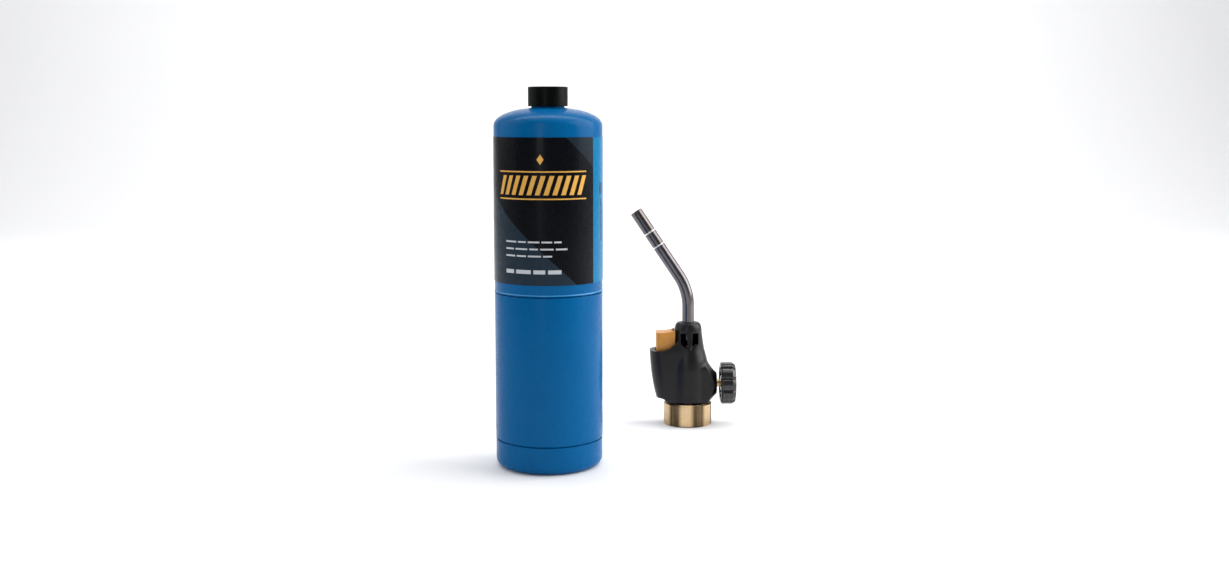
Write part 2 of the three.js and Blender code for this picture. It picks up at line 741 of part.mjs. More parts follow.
const kit = new THREE.Group();
const cylinder = fuelCylinder();
const head = torchHead();
cylinder.position.x = -(HEAD_RIGHT + KNOB.front - CYLINDER.radius) / 2;
cylinder.position.y = -(HEAD_BACK + COLLAR.radius - CYLINDER.radius) / 2;
head.position.x = cylinder.position.x + HEAD_RIGHT;
head.position.y = cylinder.position.y + HEAD_BACK;
kit.add(cylinder, head);

export default kit;
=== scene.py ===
"""The looks of a propane hand-torch kit: a fuel cylinder with its dust cap on, and a torch head beside it.

Lengths are written in millimetres and heights are above the standing surface, unless a name says otherwise.
"""

import math

import bmesh
import bpy
import numpy as np
from mathutils import Matrix, Vector


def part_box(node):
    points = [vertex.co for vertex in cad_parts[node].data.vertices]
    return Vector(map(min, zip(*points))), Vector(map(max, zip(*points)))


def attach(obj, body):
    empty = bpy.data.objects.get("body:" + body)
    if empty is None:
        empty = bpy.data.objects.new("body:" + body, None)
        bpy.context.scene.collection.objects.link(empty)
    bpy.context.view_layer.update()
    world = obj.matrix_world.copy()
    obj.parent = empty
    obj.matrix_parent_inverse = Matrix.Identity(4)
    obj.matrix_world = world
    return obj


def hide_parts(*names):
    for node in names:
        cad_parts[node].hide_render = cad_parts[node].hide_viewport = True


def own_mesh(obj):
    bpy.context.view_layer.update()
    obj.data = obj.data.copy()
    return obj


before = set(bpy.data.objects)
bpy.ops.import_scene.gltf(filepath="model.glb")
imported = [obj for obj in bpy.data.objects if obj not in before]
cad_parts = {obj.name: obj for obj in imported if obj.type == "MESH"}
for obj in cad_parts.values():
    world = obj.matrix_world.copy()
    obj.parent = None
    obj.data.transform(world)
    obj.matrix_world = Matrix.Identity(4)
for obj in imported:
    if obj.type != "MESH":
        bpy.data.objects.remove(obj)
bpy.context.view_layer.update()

MM = 0.001


def axis_of(node):
    """The place in plan, in millimetres, of the upright axis that a round CAD node is turned about."""
    low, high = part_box(node)
    return (low.x + high.x) / 2 / MM, (low.y + high.y) / 2 / MM


CYLINDER = axis_of("cylinder_label")
HEAD = axis_of("inlet_collar")

# ---- driving dimensions, as in the solids ----

SHELL, WALL, SEAM, SHOULDER, DOME_RISE, DOME_POWER = 37.2, 1.2, 121.5, 234.0, 13.3, 2.3
FOOT_TOP, FOOT_RADIUS, FOOT_EDGE = 19.3, 37.0, 6.0
LABEL_RADIUS, LABEL_LOW, LABEL_HIGH = 37.5, 129.5, 227.5
SEAT_TOP, NECK_THREAD, NECK_TOP = 249.0, 12.5, 259.5
RELIEF_BACK = 19.0
CAP_RADIUS, CAP_LOW, CAP_HIGH = 13.6, 248.0, 261.3
COLLAR_RADIUS, COLLAR_TOP, SOCKET, SOCKET_DEPTH = 18.7, 17.5, 12.7, 11.5
VALVE_AXIS = 31.8
TUBE_RADIUS, TUBE_BORE, TUBE_LOW, TUBE_CORNER, TUBE_BEND, TUBE_REACH = 4.8, 4.2, 66.0, 105.7, 45.0, 73.75
TUBE_LEAN = math.radians(33.8)
TOWER_TOP = 80.4
HOUSING_LOW, HOUSING_WALL, HOUSING_SPLIT, FACE = 18.3, 2.0, 0.15, 22.5
SCREW_PLACES = [(-21.5, 24.8), (9.8, 46.5), (12.5, 22.7)]
KNOB_RADIUS, KNOB_BACK, KNOB_RIM, KNOB_FRONT, KNOB_LOBES = 16.3, 25.5, 34.4, 37.3, 10
KNOB_PHASE = math.radians(13.5)
STEM_RADIUS, STEM_END = 2.95, 33.0
NECK_PITCH, STEM_PITCH = 1.27, 0.8  # of the threads
PIEZO_X = -19.2

TUBE_TIP = (-TUBE_REACH * math.sin(TUBE_LEAN), 0, TUBE_CORNER + TUBE_REACH * math.cos(TUBE_LEAN))


# ---- mesh tools ----

def quarter(steps):
    """Sine and cosine over a quarter turn."""
    return [(math.sin(a), math.cos(a)) for a in np.linspace(0, math.pi / 2, steps + 1)]


def rounded(points, radius=0.0, steps=4):
    """An open outline with its corners eased. A point's own third number stands for the radius."""
    eased = [tuple(points[0][:2])]
    for before, point, after in zip(points, points[1:], points[2:]):
        r = point[2] if len(point) > 2 else radius
        p = np.array(point[:2], float)
        back = np.array(before[:2], float) - p
        on = np.array(after[:2], float) - p
        lengths = np.linalg.norm(back), np.linalg.norm(on)
        back, on = back / lengths[0], on / lengths[1]
        angle = math.acos(np.clip(back @ on, -1, 1))
        if r <= 0 or angle > math.pi - 0.02:
            eased.append(tuple(p))
            continue
        reach = min(r / math.tan(angle / 2), lengths[0] * 0.48, lengths[1] * 0.48)
        for t in np.linspace(0, 1, steps + 1):
            eased.append(tuple(p + back * reach * (1 - t) ** 2 + on * reach * t ** 2))
    eased.append(tuple(points[-1][:2]))
    return eased


def closed_ring(points, radius=0.0, steps=4):
    """A closed outline with its corners eased."""
    middle = [(points[0][i] + points[-1][i]) / 2 for i in (0, 1)]
    return rounded([middle, *points, middle], radius, steps)[:-1]


def finely(outline, step):
    """The outline with more points, no further apart than a step."""
    out = [outline[0]]
    for a, b in zip(outline, outline[1:]):
        count = max(1, math.ceil(math.dist(a, b) / step))
        steps = [k / count for k in range(1, count + 1)]
        out += [(a[0] + (b[0] - a[0]) * t, a[1] + (b[1] - a[1]) * t) for t in steps]
    return out


def turned(outline, segments=96, relief=None):
    """Vertices and faces of an outline of (radius, height), turned about Z.

    It runs out, up and back in. An outline that starts off the axis closes on itself. relief(radius, height,
    angle) moves the radius.
    """
    angles = np.arange(segments) * 2 * math.pi / segments
    verts, rings = [], []
    for radius, height in outline:
        if radius < 1e-6:
            rings.append([len(verts)])
            verts.append((0, 0, height))
            continue
        rings.append(list(range(len(verts), len(verts) + segments)))
        for angle in angles:
            r = relief(radius, height, angle) if relief else radius
            verts.append((r * math.cos(angle), r * math.sin(angle), height))
    faces = []
    pairs = list(zip(rings, rings[1:]))
    if outline[0][0] > 1e-6:
        pairs.append((rings[-1], rings[0]))
    for low, high in pairs:
        for i in range(segments):
            j = (i + 1) % segments
            if len(low) > 1 and len(high) > 1:
                faces.append((low[i], low[j], high[j], high[i]))
            elif len(high) > 1:
                faces.append((low[0], high[j], high[i]))
            elif len(low) > 1:
                faces.append((low[i], low[j], high[0]))
    return verts, faces


def axes(x=(1, 0, 0), y=(0, 1, 0), z=(0, 0, 1), origin=(0, 0, 0)):
    """A matrix that takes a shape's own axes to these directions and its origin to this place."""
    matrix = Matrix((x, y, z)).transposed().to_4x4()
    matrix.translation = origin
    return matrix


ALONG_STEM = axes(x=(0, 1, 0), y=(0, 0, 1), z=(1, 0, 0), origin=(0, 0, VALVE_AXIS))
AT_TIP = axes(
    x=(math.cos(TUBE_LEAN), 0, math.sin(TUBE_LEAN)), z=(-math.sin(TUBE_LEAN), 0, math.cos(TUBE_LEAN)),
    origin=TUBE_TIP,
)


def linked(name, data):
    obj = bpy.data.objects.new(name, data)
    bpy.context.scene.collection.objects.link(obj)
    return obj


def mesh_object(name, verts, faces, place=(0, 0), matrix=None, sharp=32):
    """A mesh object from a shape in millimetres, put about an axis in plan."""
    matrix = matrix or Matrix.Identity(4)
    shift = Vector((place[0], place[1], 0))
    mesh = bpy.data.meshes.new(name)
    mesh.from_pydata([(matrix @ Vector(v) + shift) * MM for v in verts], [], faces)
    return smooth(linked(name, mesh), sharp)


def smooth(obj, sharp=32):
    """Turns the faces outwards and shades them smooth but for edges sharper than this, in degrees."""
    bm = bmesh.new()
    bm.from_mesh(obj.data)
    bmesh.ops.recalc_face_normals(bm, faces=bm.faces)
    bm.to_mesh(obj.data)
    bm.free()
    obj.data.shade_smooth()
    obj.data.set_sharp_from_angle(angle=math.radians(sharp))
    return obj


def baked(obj):
    """Applies an object's modifiers to its mesh."""
    graph = bpy.context.evaluated_depsgraph_get()
    mesh = bpy.data.meshes.new_from_object(obj.evaluated_get(graph))
    obj.modifiers.clear()
    old = obj.data
    obj.data = mesh
    mesh.name = obj.name
    bpy.data.meshes.remove(old)
    return obj


def combine(obj, other, operation):
    """A boolean of two objects; the second is used up."""
    modifier = obj.modifiers.new("combine", "BOOLEAN")
    modifier.object = other
    modifier.operation = operation
    modifier.solver = "MANIFOLD"
    baked(obj)
    bpy.data.objects.remove(other)
    return obj


def united(name, objects):
    """Objects joined into one mesh of overlapping bodies."""
    bm = bmesh.new()
    for obj in objects:
        bm.from_mesh(obj.data)
        bpy.data.objects.remove(obj)
    mesh = bpy.data.meshes.new(name)
    bm.to_mesh(mesh)
    bm.free()
    return linked(name, mesh)


def evened(obj, voxel, rounds):
    """One even skin over overlapping bodies, with its edges and creases eased."""
    remesh = obj.modifiers.new("remesh", "REMESH")
    remesh.mode = "VOXEL"
    remesh.voxel_size = voxel * MM
    baked(obj)
    ease = obj.modifiers.new("ease", "SMOOTH")
    ease.factor = 0.5
    ease.iterations = rounds
    return baked(obj)


def edges_eased(obj, width, segments, angle=30):
    """Rounds the edges that are sharper than an angle in degrees."""
    ease = obj.modifiers.new("ease", "BEVEL")
    ease.width = width * MM
    ease.segments = segments
    ease.limit_method = "ANGLE"
    ease.angle_limit = math.radians(angle)
    return smooth(baked(obj), 40)


def band(a, b, n):
    """Faces between two rings of n vertices, the first vertices of which are a and b."""
    return [(a + k, a + (k + 1) % n, b + (k + 1) % n, b + k) for k in range(n)]


def capped(verts, n):
    """A stack of rings of n vertices, with flat ends."""
    faces = [tuple(range(n)), tuple(range(len(verts) - 1, len(verts) - n - 1, -1))]
    for first in range(0, len(verts) - n, n):
        faces += band(first, first + n, n)
    return verts, faces


def prism(outline, low, high, plane):
    """Vertices and faces of a closed outline given depth. plane is "plan", "front" or "side"."""
    order = {"plan": (0, 1, 2), "front": (0, 2, 1), "side": (2, 0, 1)}[plane]
    verts = [[(a, b, depth)[i] for i in order] for depth in (low, high) for a, b in outline]
    return capped(verts, len(outline))


def box(low, high):
    (x0, y0, z0), (x1, y1, z1) = low, high
    return prism([(x0, y0), (x1, y0), (x1, y1), (x0, y1)], z0, z1, "plan")


def rod(start, end, radius, segments=32):
    """A round rod between two points."""
    along = Vector(end) - Vector(start)
    verts, faces = turned([(0, 0), (radius, 0), (radius, along.length), (0, along.length)], segments)
    turn = along.to_track_quat("Z", "Y").to_matrix().to_4x4()
    return [Matrix.Translation(start) @ turn @ Vector(v) for v in verts], faces


SWEPT_SIDES = 48


def swept(stations):
    """A closed skin over rings, each (centre, radius, lean), along the XZ plane. The last joins the first."""
    sides = SWEPT_SIDES
    verts, faces = [], []
    for (x, z), radius, lean in stations:
        for k in range(sides):
            angle = 2 * math.pi * k / sides
            across = radius * math.cos(angle)
            verts.append((x + across * math.cos(lean), radius * math.sin(angle), z + across * math.sin(lean)))
    for i in range(len(stations)):
        faces += band(i * sides, (i + 1) % len(stations) * sides, sides)
    return verts, faces


def wire(points, radius, sides):
    """A round wire through points, with flat ends."""
    points = [Vector(p) for p in points]
    verts, side = [], None
    for i, point in enumerate(points):
        along = (points[min(i + 1, len(points) - 1)] - points[max(i - 1, 0)]).normalized()
        if side is None:
            side = along.orthogonal().normalized()
        side = (side - along * side.dot(along)).normalized()
        up = along.cross(side)
        for k in range(sides):
            angle = 2 * math.pi * k / sides
            verts.append(point + (side * math.cos(angle) + up * math.sin(angle)) * radius)
    return capped(verts, sides)


def helix(radius, low, high, turns, steps=24):
    count = int(turns * steps)
    angles = [2 * math.pi * i / steps for i in range(count + 1)]
    rise = (high - low) / count
    return [(radius * math.cos(a), radius * math.sin(a), low + rise * i) for i, a in enumerate(angles)]


def finish_piece(obj, body, slot, material, *nodes):
    """Gives a piece its body and hides the CAD nodes it stands for. A list of materials is appended. slot is
    not used.
    """
    if isinstance(material, list):
        for one in material:
            obj.data.materials.append(one)
    else:
        obj.data.materials.clear()
        obj.data.materials.append(material)
    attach(obj, body)
    if nodes:
        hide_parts(*nodes)
    return obj


def node_of(name):
    """The CAD node that a piece's name stands for."""
    plain = name.removesuffix(".fine")
    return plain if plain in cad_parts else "cylinder_" + plain


def turned_piece(name, outline, segments, place, body, slot, material, matrix=None, relief=None, sharp=32):
    """A round piece in the place of its CAD node."""
    obj = mesh_object(name, *turned(outline, segments, relief), place, matrix, sharp)
    return finish_piece(obj, body, slot, material, node_of(name))


def wire_piece(name, points, radius, sides, place, matrix=None):
    """A piece of steel wire in the place of its CAD node."""
    obj = mesh_object(name, *wire(points, radius, sides), place, matrix)
    return finish_piece(obj, "cylinder" if place == CYLINDER else "head", "steel", STEEL, node_of(name))


def in_head(shape, matrix=None):
    """A form in the torch head's place, to join or cut with."""
    return mesh_object("form", *shape, HEAD, matrix)


# ---- materials ----

def srgb(red, green, blue):
    """A colour given as screen values from 0 to 255, as the shader's linear colour."""
    channels = [c / 255 for c in (red, green, blue)]
    linear = [c / 12.92 if c <= 0.04045 else ((c + 0.055) / 1.055) ** 2.4 for c in channels]
    return (*linear, 1)


class Finish:
    """One procedural material. Textures are placed in the piece's own millimetres."""

    def __init__(self, name, color, roughness, metallic=0.0):
        self.material = bpy.data.materials.new(name)
        self.material.use_nodes = True
        self.nodes = self.material.node_tree.nodes
        self.links = self.material.node_tree.links
        self.shader = self.nodes["Principled BSDF"]
        self.coordinates = self.nodes.new("ShaderNodeTexCoord").outputs["Object"]
        self.normal = None
        self.color = color
        self.set(**{"Base Color": color, "Roughness": roughness, "Metallic": metallic})

    def set(self, **values):
        for name, value in values.items():
            self.shader.inputs[name].default_value = value
        return self

    def feed(self, socket, value):
        """Links another node's output to a socket, or sets the socket to a plain value."""
        if isinstance(value, bpy.types.NodeSocket):
            self.links.new(value, socket)
        else:
            socket.default_value = value

    def noise(self, size, detail, stretch=(1, 1, 1)):
        """Noise with features of about this size; stretch makes them longer along an axis."""
        mapping = self.nodes.new("ShaderNodeMapping")
        mapping.inputs["Scale"].default_value = [1 / (size * MM * s) for s in stretch]
        self.links.new(self.coordinates, mapping.inputs["Vector"])
        texture = self.nodes.new("ShaderNodeTexNoise")
        texture.inputs["Scale"].default_value = 1
        texture.inputs["Detail"].default_value = detail
        texture.inputs["Roughness"].default_value = 0.55
        self.links.new(mapping.outputs["Vector"], texture.inputs["Vector"])
        return texture.outputs["Fac"]

    def ranged(self, value, start, end, low, high):
        """value's stretch from start to end, taken to low to high and held there."""
        node = self.nodes.new("ShaderNodeMapRange")
        for i, given in enumerate((value, start, end, low, high)):
            self.feed(node.inputs[i], given)
        return node.outputs[0]

    def along(self, axis):
        split = self.nodes.new("ShaderNodeSeparateXYZ")
        self.links.new(self.coordinates, split.inputs[0])
        return split.outputs[axis]

    def bands(self, count, bright, centre):
        """0 to 1 in even bands round an upright axis, 1 where it is furthest from the bright angle. It masks
        painted reflection bands.

        bright is in degrees from the front towards +X, and centre is the axis in plan, in millimetres.
        """
        x = self.both(self.along("X"), -centre[0] * MM, "ADD")
        y = self.both(self.along("Y"), -centre[1] * MM, "ADD")
        angle = self.both(self.both(x, self.both(y, -1), "ARCTAN2"), count)
        wave = self.both(self.both(angle, -math.radians(bright * count), "ADD"), 0, "COSINE")
        return self.ranged(wave, 0.55, -0.45, 0, 1)

    def both(self, a, b, operation="MULTIPLY"):
        """The result of a sum on two values. A cosine takes the first one only."""
        node = self.nodes.new("ShaderNodeMath")
        node.operation = operation
        self.feed(node.inputs[0], a)
        self.feed(node.inputs[1], b)
        return node.outputs[0]

    def tint(self, factor, other):
        """Mixes another colour into the base colour by a factor."""
        node = self.nodes.new("ShaderNodeMix")
        node.data_type = "RGBA"
        self.links.new(factor, node.inputs["Factor"])
        old = self.shader.inputs["Base Color"].links
        self.feed(node.inputs[6], old[0].from_socket if old else self.color)
        node.inputs[7].default_value = other
        self.links.new(node.outputs[2], self.shader.inputs["Base Color"])
        return self

    def rough(self, value):
        self.links.new(value, self.shader.inputs["Roughness"])
        return self

    def bump(self, value, depth):
        """Relief of this depth in millimetres from a value of 0 to 1, on top of any before."""
        node = self.nodes.new("ShaderNodeBump")
        node.inputs["Distance"].default_value = depth * MM
        self.links.new(value, node.inputs["Height"])
        if self.normal:
            self.links.new(self.normal, node.inputs["Normal"])
        self.normal = node.outputs["Normal"]
        self.links.new(self.normal, self.shader.inputs["Normal"])
        return self


def scuffed(finish, low, high, size=6.0):
    """Roughness that wanders between two values in patches, with faint fine scratches."""
    patches = finish.noise(size, 5)
    scratches = finish.noise(0.35, 2, stretch=(1, 1, 22))
    value = finish.ranged(finish.both(patches, scratches), 0.12, 0.45, low, high)
    return finish.rough(value)


def coated(name, color, roughness, grain, mottle=None, scuff=None, **inputs):
    """A painted, printed or moulded finish.

    grain is the fine relief's size, detail and depth. mottle is another colour with the size, detail, start,
    end and share of its patches, and scuff is what scuffed takes.
    """
    finish = Finish(name, color, roughness)
    finish.set(**{key.replace("_", " "): value for key, value in inputs.items()})
    if mottle:
        other, size, detail, start, end, share = mottle
        finish.tint(finish.ranged(finish.noise(size, detail), start, end, 0, share), other)
    if scuff:
        scuffed(finish, *scuff)
    size, detail, depth = grain
    return finish.bump(finish.noise(size, detail), depth).material


def label_ink(name, color, other):
    return coated(name, color, 0.24, (0.9, 2, 0.006), (other, 18, 4, 0.35, 0.7, 0.5), (0.2, 0.34),
                  Coat_Weight=0.05, Coat_Roughness=0.12, Specular_IOR_Level=0.08)


def brass(name="turned_brass", stretch=(90, 90, 1), roughness=0.24, turned_about="Z"):
    """Polished brass with the fine rings that a lathe tool leaves. stretch is along the rings."""
    metal = Finish(name, srgb(206, 178, 138), roughness, 1.0)
    metal.tint(metal.ranged(metal.noise(5, 4), 0.4, 0.75, 0, 0.3), srgb(180, 144, 98))
    if turned_about:
        tangent = metal.nodes.new("ShaderNodeTangent")
        tangent.direction_type = "RADIAL"
        tangent.axis = turned_about
        metal.links.new(tangent.outputs[0], metal.shader.inputs["Tangent"])
        metal.set(Anisotropic=0.75)
    rings = metal.noise(0.16, 2, stretch=stretch)
    metal.rough(metal.ranged(rings, 0.3, 0.7, roughness * 0.8, roughness * 1.7))
    return metal.bump(rings, 0.006)


def collar_brass_painted_reflections():
    """The collar's brass, darkened in soft upright bands round its axis: painted reflections."""
    metal = brass("collar_brass_painted_reflections")
    # painted reflections: dark upright bands round the collar, broken by faint upright streaks
    streaks = metal.ranged(metal.noise(2.5, 3, stretch=(1, 1, 20)), 0.3, 0.7, 0.75, 1)
    metal.tint(metal.both(metal.both(metal.bands(6, -7, HEAD), streaks), 0.95), srgb(52, 40, 24))
    return metal.material


def steel(name="drawn_steel", color=srgb(176, 178, 182), roughness=0.26, stretch=(1, 1, 60)):
    metal = Finish(name, color, roughness, 1.0)
    streaks = metal.noise(0.2, 2, stretch=stretch)
    metal.rough(metal.ranged(streaks, 0.3, 0.7, roughness * 0.75, roughness * 1.5))
    return metal.bump(streaks, 0.004).material


def tube_steel():
    """Dark polished steel with faint drawing streaks, darker and straw-tinted towards the mouth."""
    metal = Finish("burn_tube_steel", srgb(112, 108, 110), 0.2, 1.0)
    metal.tint(metal.ranged(metal.noise(7, 4, stretch=(1, 1, 4)), 0.4, 0.75, 0, 0.5), srgb(78, 70, 70))
    tip = TUBE_TIP[2] * MM
    metal.tint(metal.ranged(metal.along("Z"), tip - 0.03, tip, 0, 0.35), srgb(96, 82, 70))
    streaks = metal.noise(0.3, 3, stretch=(1, 1, 40))
    metal.rough(metal.ranged(streaks, 0.3, 0.7, 0.14, 0.3))
    return metal.bump(streaks, 0.005).material


BLUE = coated(
    "blue_enamel", srgb(0, 91, 146), 0.3, (1.6, 2, 0.010), (srgb(0, 80, 136), 26, 3, 0.35, 0.7, 0.35),
    (0.2, 0.36), Coat_Weight=0.02, Coat_Roughness=0.1, Specular_IOR_Level=0.07,
)
PAINTED_EDGE_HIGHLIGHT = coated(  # the same blue, paler, on the upward faces of the rolled edge: a painted highlight
    "rolled_edge_painted_highlight", srgb(70, 150, 205), 0.24, (1.6, 2, 0.010), Coat_Weight=0.04, Specular_IOR_Level=0.2,
)
INK_BLACK = label_ink("label_black", srgb(8, 10, 16), srgb(5, 6, 10))
INK_SLATE = label_ink("label_slate", srgb(34, 48, 60), srgb(28, 40, 50))
INK_GREY = label_ink("label_grey", srgb(28, 38, 46), srgb(24, 32, 39))
INK_SKY = label_ink("label_sky", srgb(0, 112, 158), srgb(0, 104, 150))
INK_GOLD = label_ink("label_gold", srgb(222, 170, 84), srgb(204, 150, 66))
INK_PALE = label_ink("label_pale", srgb(196, 200, 204), srgb(176, 180, 186))
INK_NAVY = label_ink("label_navy", srgb(14, 70, 112), srgb(12, 60, 98))
CAP_BLACK = coated(
    "cap_plastic", srgb(4, 5, 5), 0.34, (0.22, 2, 0.012), scuff=(0.28, 0.46, 4), Specular_IOR_Level=0.08,
)
BRASS = brass().material
COLLAR_BRASS_PAINTED_REFLECTIONS = collar_brass_painted_reflections()
BRASS_STEM = brass("turned_brass_stem", stretch=(1, 90, 90), turned_about="X").material
BRASS_CAST = brass("cast_brass", stretch=(3, 3, 3), roughness=0.32, turned_about=None).material
STEEL = steel()
# paler steel for the crimp grooves: a painted highlight
CRIMP_PAINTED_HIGHLIGHT = steel("crimp_painted_highlight", srgb(214, 212, 212), 0.3)
STEEL_SCREW = steel("screw_steel", srgb(150, 150, 154), 0.3, stretch=(1, 6, 1))
TUBE_STEEL = tube_steel()
HOUSING = coated(
    "housing_plastic", srgb(12, 10, 13), 0.36, (0.28, 3, 0.014), (srgb(8, 7, 9), 9, 4, 0.4, 0.75, 0.5),
    (0.3, 0.46, 5), Specular_IOR_Level=0.3,
)
ORANGE = coated(
    "button_plastic", srgb(204, 140, 52), 0.4, (0.25, 2, 0.012), (srgb(190, 120, 40), 6, 4, 0.4, 0.75, 0.6),
    (0.32, 0.5, 3), Subsurface_Weight=0.08, Subsurface_Scale=0.002,
)
KNOB = coated(
    "knob_plastic", srgb(16, 16, 18), 0.24, (0.3, 2, 0.010), scuff=(0.2, 0.36, 3), Specular_IOR_Level=0.7,
)
RUBBER = coated("rubber", srgb(28, 28, 29), 0.75, (0.2, 3, 0.02), (srgb(46, 45, 44), 0.8, 3, 0.4, 0.7, 0.6))
IGNITER = coated("igniter_plastic", srgb(52, 52, 58), 0.5, (0.3, 2, 0.012), scuff=(0.42, 0.6, 3))
CERAMIC = coated(
    "ceramic", srgb(232, 226, 212), 0.55, (0.15, 3, 0.01), (srgb(206, 196, 178), 1.5, 4, 0.45, 0.75, 0.5),
)
SILICONE = coated(
    "lead_insulation", srgb(26, 26, 28), 0.5, (0.3, 2, 0.01), (srgb(40, 39, 40), 2, 3, 0.4, 0.7, 0.5),
)


# ---- fuel cylinder ----

def dome(radius, rise, end_radius, steps):
    last = math.acos((end_radius / radius) ** (DOME_POWER / 2))
    return [
        (radius * math.cos(a) ** (2 / DOME_POWER), SHOULDER + rise * math.sin(a) ** (2 / DOME_POWER))
        for a in np.linspace(0, last, steps + 1)
    ]


def bowl(radius, centre, depth, steps):
    return [(radius * sine, centre - depth * cosine) for sine, cosine in quarter(steps)]


def upper_shell():
    """The drawn top half: rolled lower edge, straight side and dome, with a raised seat round the neck."""
    hole = 10.2
    edge = SEAM + 0.15
    rolled = [(-0.5, 0), (0.12, 0.15), (0.3, 0.45), (0.26, 0.8), (-0.12, 1.35), (-0.1, 1.7), (0, 2.3)]
    side = [(SHELL + out, edge + up) for out, up in rolled]
    outside = dome(SHELL, DOME_RISE, hole + 1.6, 40)
    seat = [(hole + 1.1, outside[-1][1] + 0.4), (hole + 0.9, SEAT_TOP - 0.2), (hole + 0.7, SEAT_TOP),
            (hole, SEAT_TOP)]
    inside = dome(SHELL - WALL, DOME_RISE - WALL, hole, 20)[::-1]
    outline = finely(side, 1) + outside + seat + inside + [(SHELL - WALL, edge)]
    shell = mesh_object("upper_shell", *turned(outline, 160), CYLINDER)
    hole_cutter = mesh_object("hole", *rod((0, RELIEF_BACK, 230), (0, RELIEF_BACK, 260), 3.2), CYLINDER)
    combine(shell, hole_cutter, "DIFFERENCE")
    smooth(shell)
    shell.data.materials.clear()
    finish_piece(shell, "cylinder", "blue_paint", [BLUE, PAINTED_EDGE_HIGHLIGHT], "cylinder_upper_shell")
    # upward faces of the rolled edge take the paler blue: a painted highlight
    for face in shell.data.polygons:
        if face.center.z < (edge + 1.4) * MM and face.normal.z > 0.2:
            face.material_index = 1


def lower_shell():
    """The drawn bottom half, with the joggled lip that slips into the upper one."""
    inner = SHELL - WALL
    grip = FOOT_RADIUS - 1.1
    side = rounded([
        (grip, 18.5), (grip, 19.6), (SHELL, 20.4), (SHELL, SEAM - 0.5), (inner - 0.2, SEAM),
        (inner - 0.2, SEAM + 5.5), (inner - 1.4, SEAM + 5.5), (inner - 1.4, SEAM - 2.5), (inner, SEAM - 4.5),
        (inner, 21.5),
    ], 0.5)
    outline = bowl(grip, 18, 12, 14) + side + bowl(grip - WALL, 18, 10.8, 10)[::-1]
    turned_piece("lower_shell", outline, 160, CYLINDER, "cylinder", "blue_paint", BLUE)


def foot_cup():
    """The cup pressed round the bottom, with a rolled rim and a recessed underside."""
    wall = 0.8

    def rounding(inset):
        middle, radius = FOOT_RADIUS - FOOT_EDGE, FOOT_EDGE - inset
        return [(middle + radius * sine, FOOT_EDGE - radius * cosine) for sine, cosine in quarter(11)]

    under = rounded([(0, 3), (24, 3), (26.5, 0), (30, 0)], 1.2)
    rim = rounded([(FOOT_RADIUS, 15), (FOOT_RADIUS, FOOT_TOP, 0.3), (FOOT_RADIUS - wall, FOOT_TOP, 0.2),
                   (FOOT_RADIUS - wall, 15)])
    inside = rounding(wall)[::-1] + rounded([(30, wall), (26.9, wall), (24.4, 3.8), (0, 3.8)], 1.2)
    outline = under + rounding(0) + rim + inside
    turned_piece("foot_cup", outline, 160, CYLINDER, "cylinder", "blue_paint", BLUE)


def wrapped(degrees, height, radius):
    """A point of the label: degrees round from the front towards +X."""
    angle = math.radians(degrees)
    return radius * math.sin(angle), -radius * math.cos(angle), height


PANEL = (-100, 56)  # degrees round the label that the front panel covers
STRIPE = 34  # width in degrees of the sky-blue stripes
FACET_HIGH = ((21, LABEL_HIGH), (56, 207))  # lower edge of the grey facet at the panel's top right
FACET_LOW = ((-74, 193), (31, 130.5))  # upper edge of the slate facet at the panel's lower left


def below(line, x, y):
    (x0, y0), (x1, y1) = line
    return y < y0 + (y1 - y0) * (x - x0) / (x1 - x0)


def label_region(x, y):
    """Which ink covers a place on the label: 0 black, 1 slate, 2 grey, 3 sky."""
    if not PANEL[0] < x < PANEL[1]:
        stripe = PANEL[1] < x < PANEL[1] + STRIPE or x > 360 + PANEL[0] - STRIPE
        return 3 if stripe else 0
    if below(FACET_LOW, x, y):
        return 1
    return 0 if below(FACET_HIGH, x, y) or x < FACET_HIGH[0][0] else 2


def label():
    """The printed sleeve, cut along the edges of its coloured fields and wrapped round the cylinder."""
    start, columns, thickness = PANEL[0], 180, 0.18
    bm = bmesh.new()
    rows = [[bm.verts.new((start + 360 * i / columns, y, 0)) for i in range(columns + 1)]
            for y in (LABEL_LOW, LABEL_HIGH)]
    for i in range(columns):
        bm.faces.new((rows[0][i], rows[0][i + 1], rows[1][i + 1], rows[1][i]))
    upright = [PANEL[1], PANEL[1] + STRIPE, 360 + PANEL[0] - STRIPE]
    cuts = [((x, LABEL_LOW), (x, LABEL_HIGH)) for x in upright] + [FACET_HIGH, FACET_LOW]
    for (x0, y0), (x1, y1) in cuts:
        geometry, across = bm.verts[:] + bm.edges[:] + bm.faces[:], (y1 - y0, x0 - x1, 0)
        bmesh.ops.bisect_plane(bm, geom=geometry, plane_co=(x0, y0, 0), plane_no=across, dist=1e-4)
    for face in bm.faces:
        centre = face.calc_center_median()
        face.material_index = label_region(centre.x, centre.y)
    gap = 0.12  # degrees left open at the lap
    for v in bm.verts:
        x = min(v.co.x, start + 360 - gap)
        v.co = Vector(wrapped(x, v.co.y, LABEL_RADIUS - 0.04)) * MM + Vector((*CYLINDER, 0)) * MM
    mesh = bpy.data.meshes.new("label")
    bm.to_mesh(mesh)
    bm.free()
    obj = linked("label", mesh)
    thick = obj.modifiers.new("thick", "SOLIDIFY")
    thick.thickness = thickness * MM
    thick.offset = -1
    smooth(baked(obj), 40)
    finish_piece(obj, "cylinder", "label", [INK_BLACK, INK_SLATE, INK_GREY, INK_SKY], "cylinder_label")


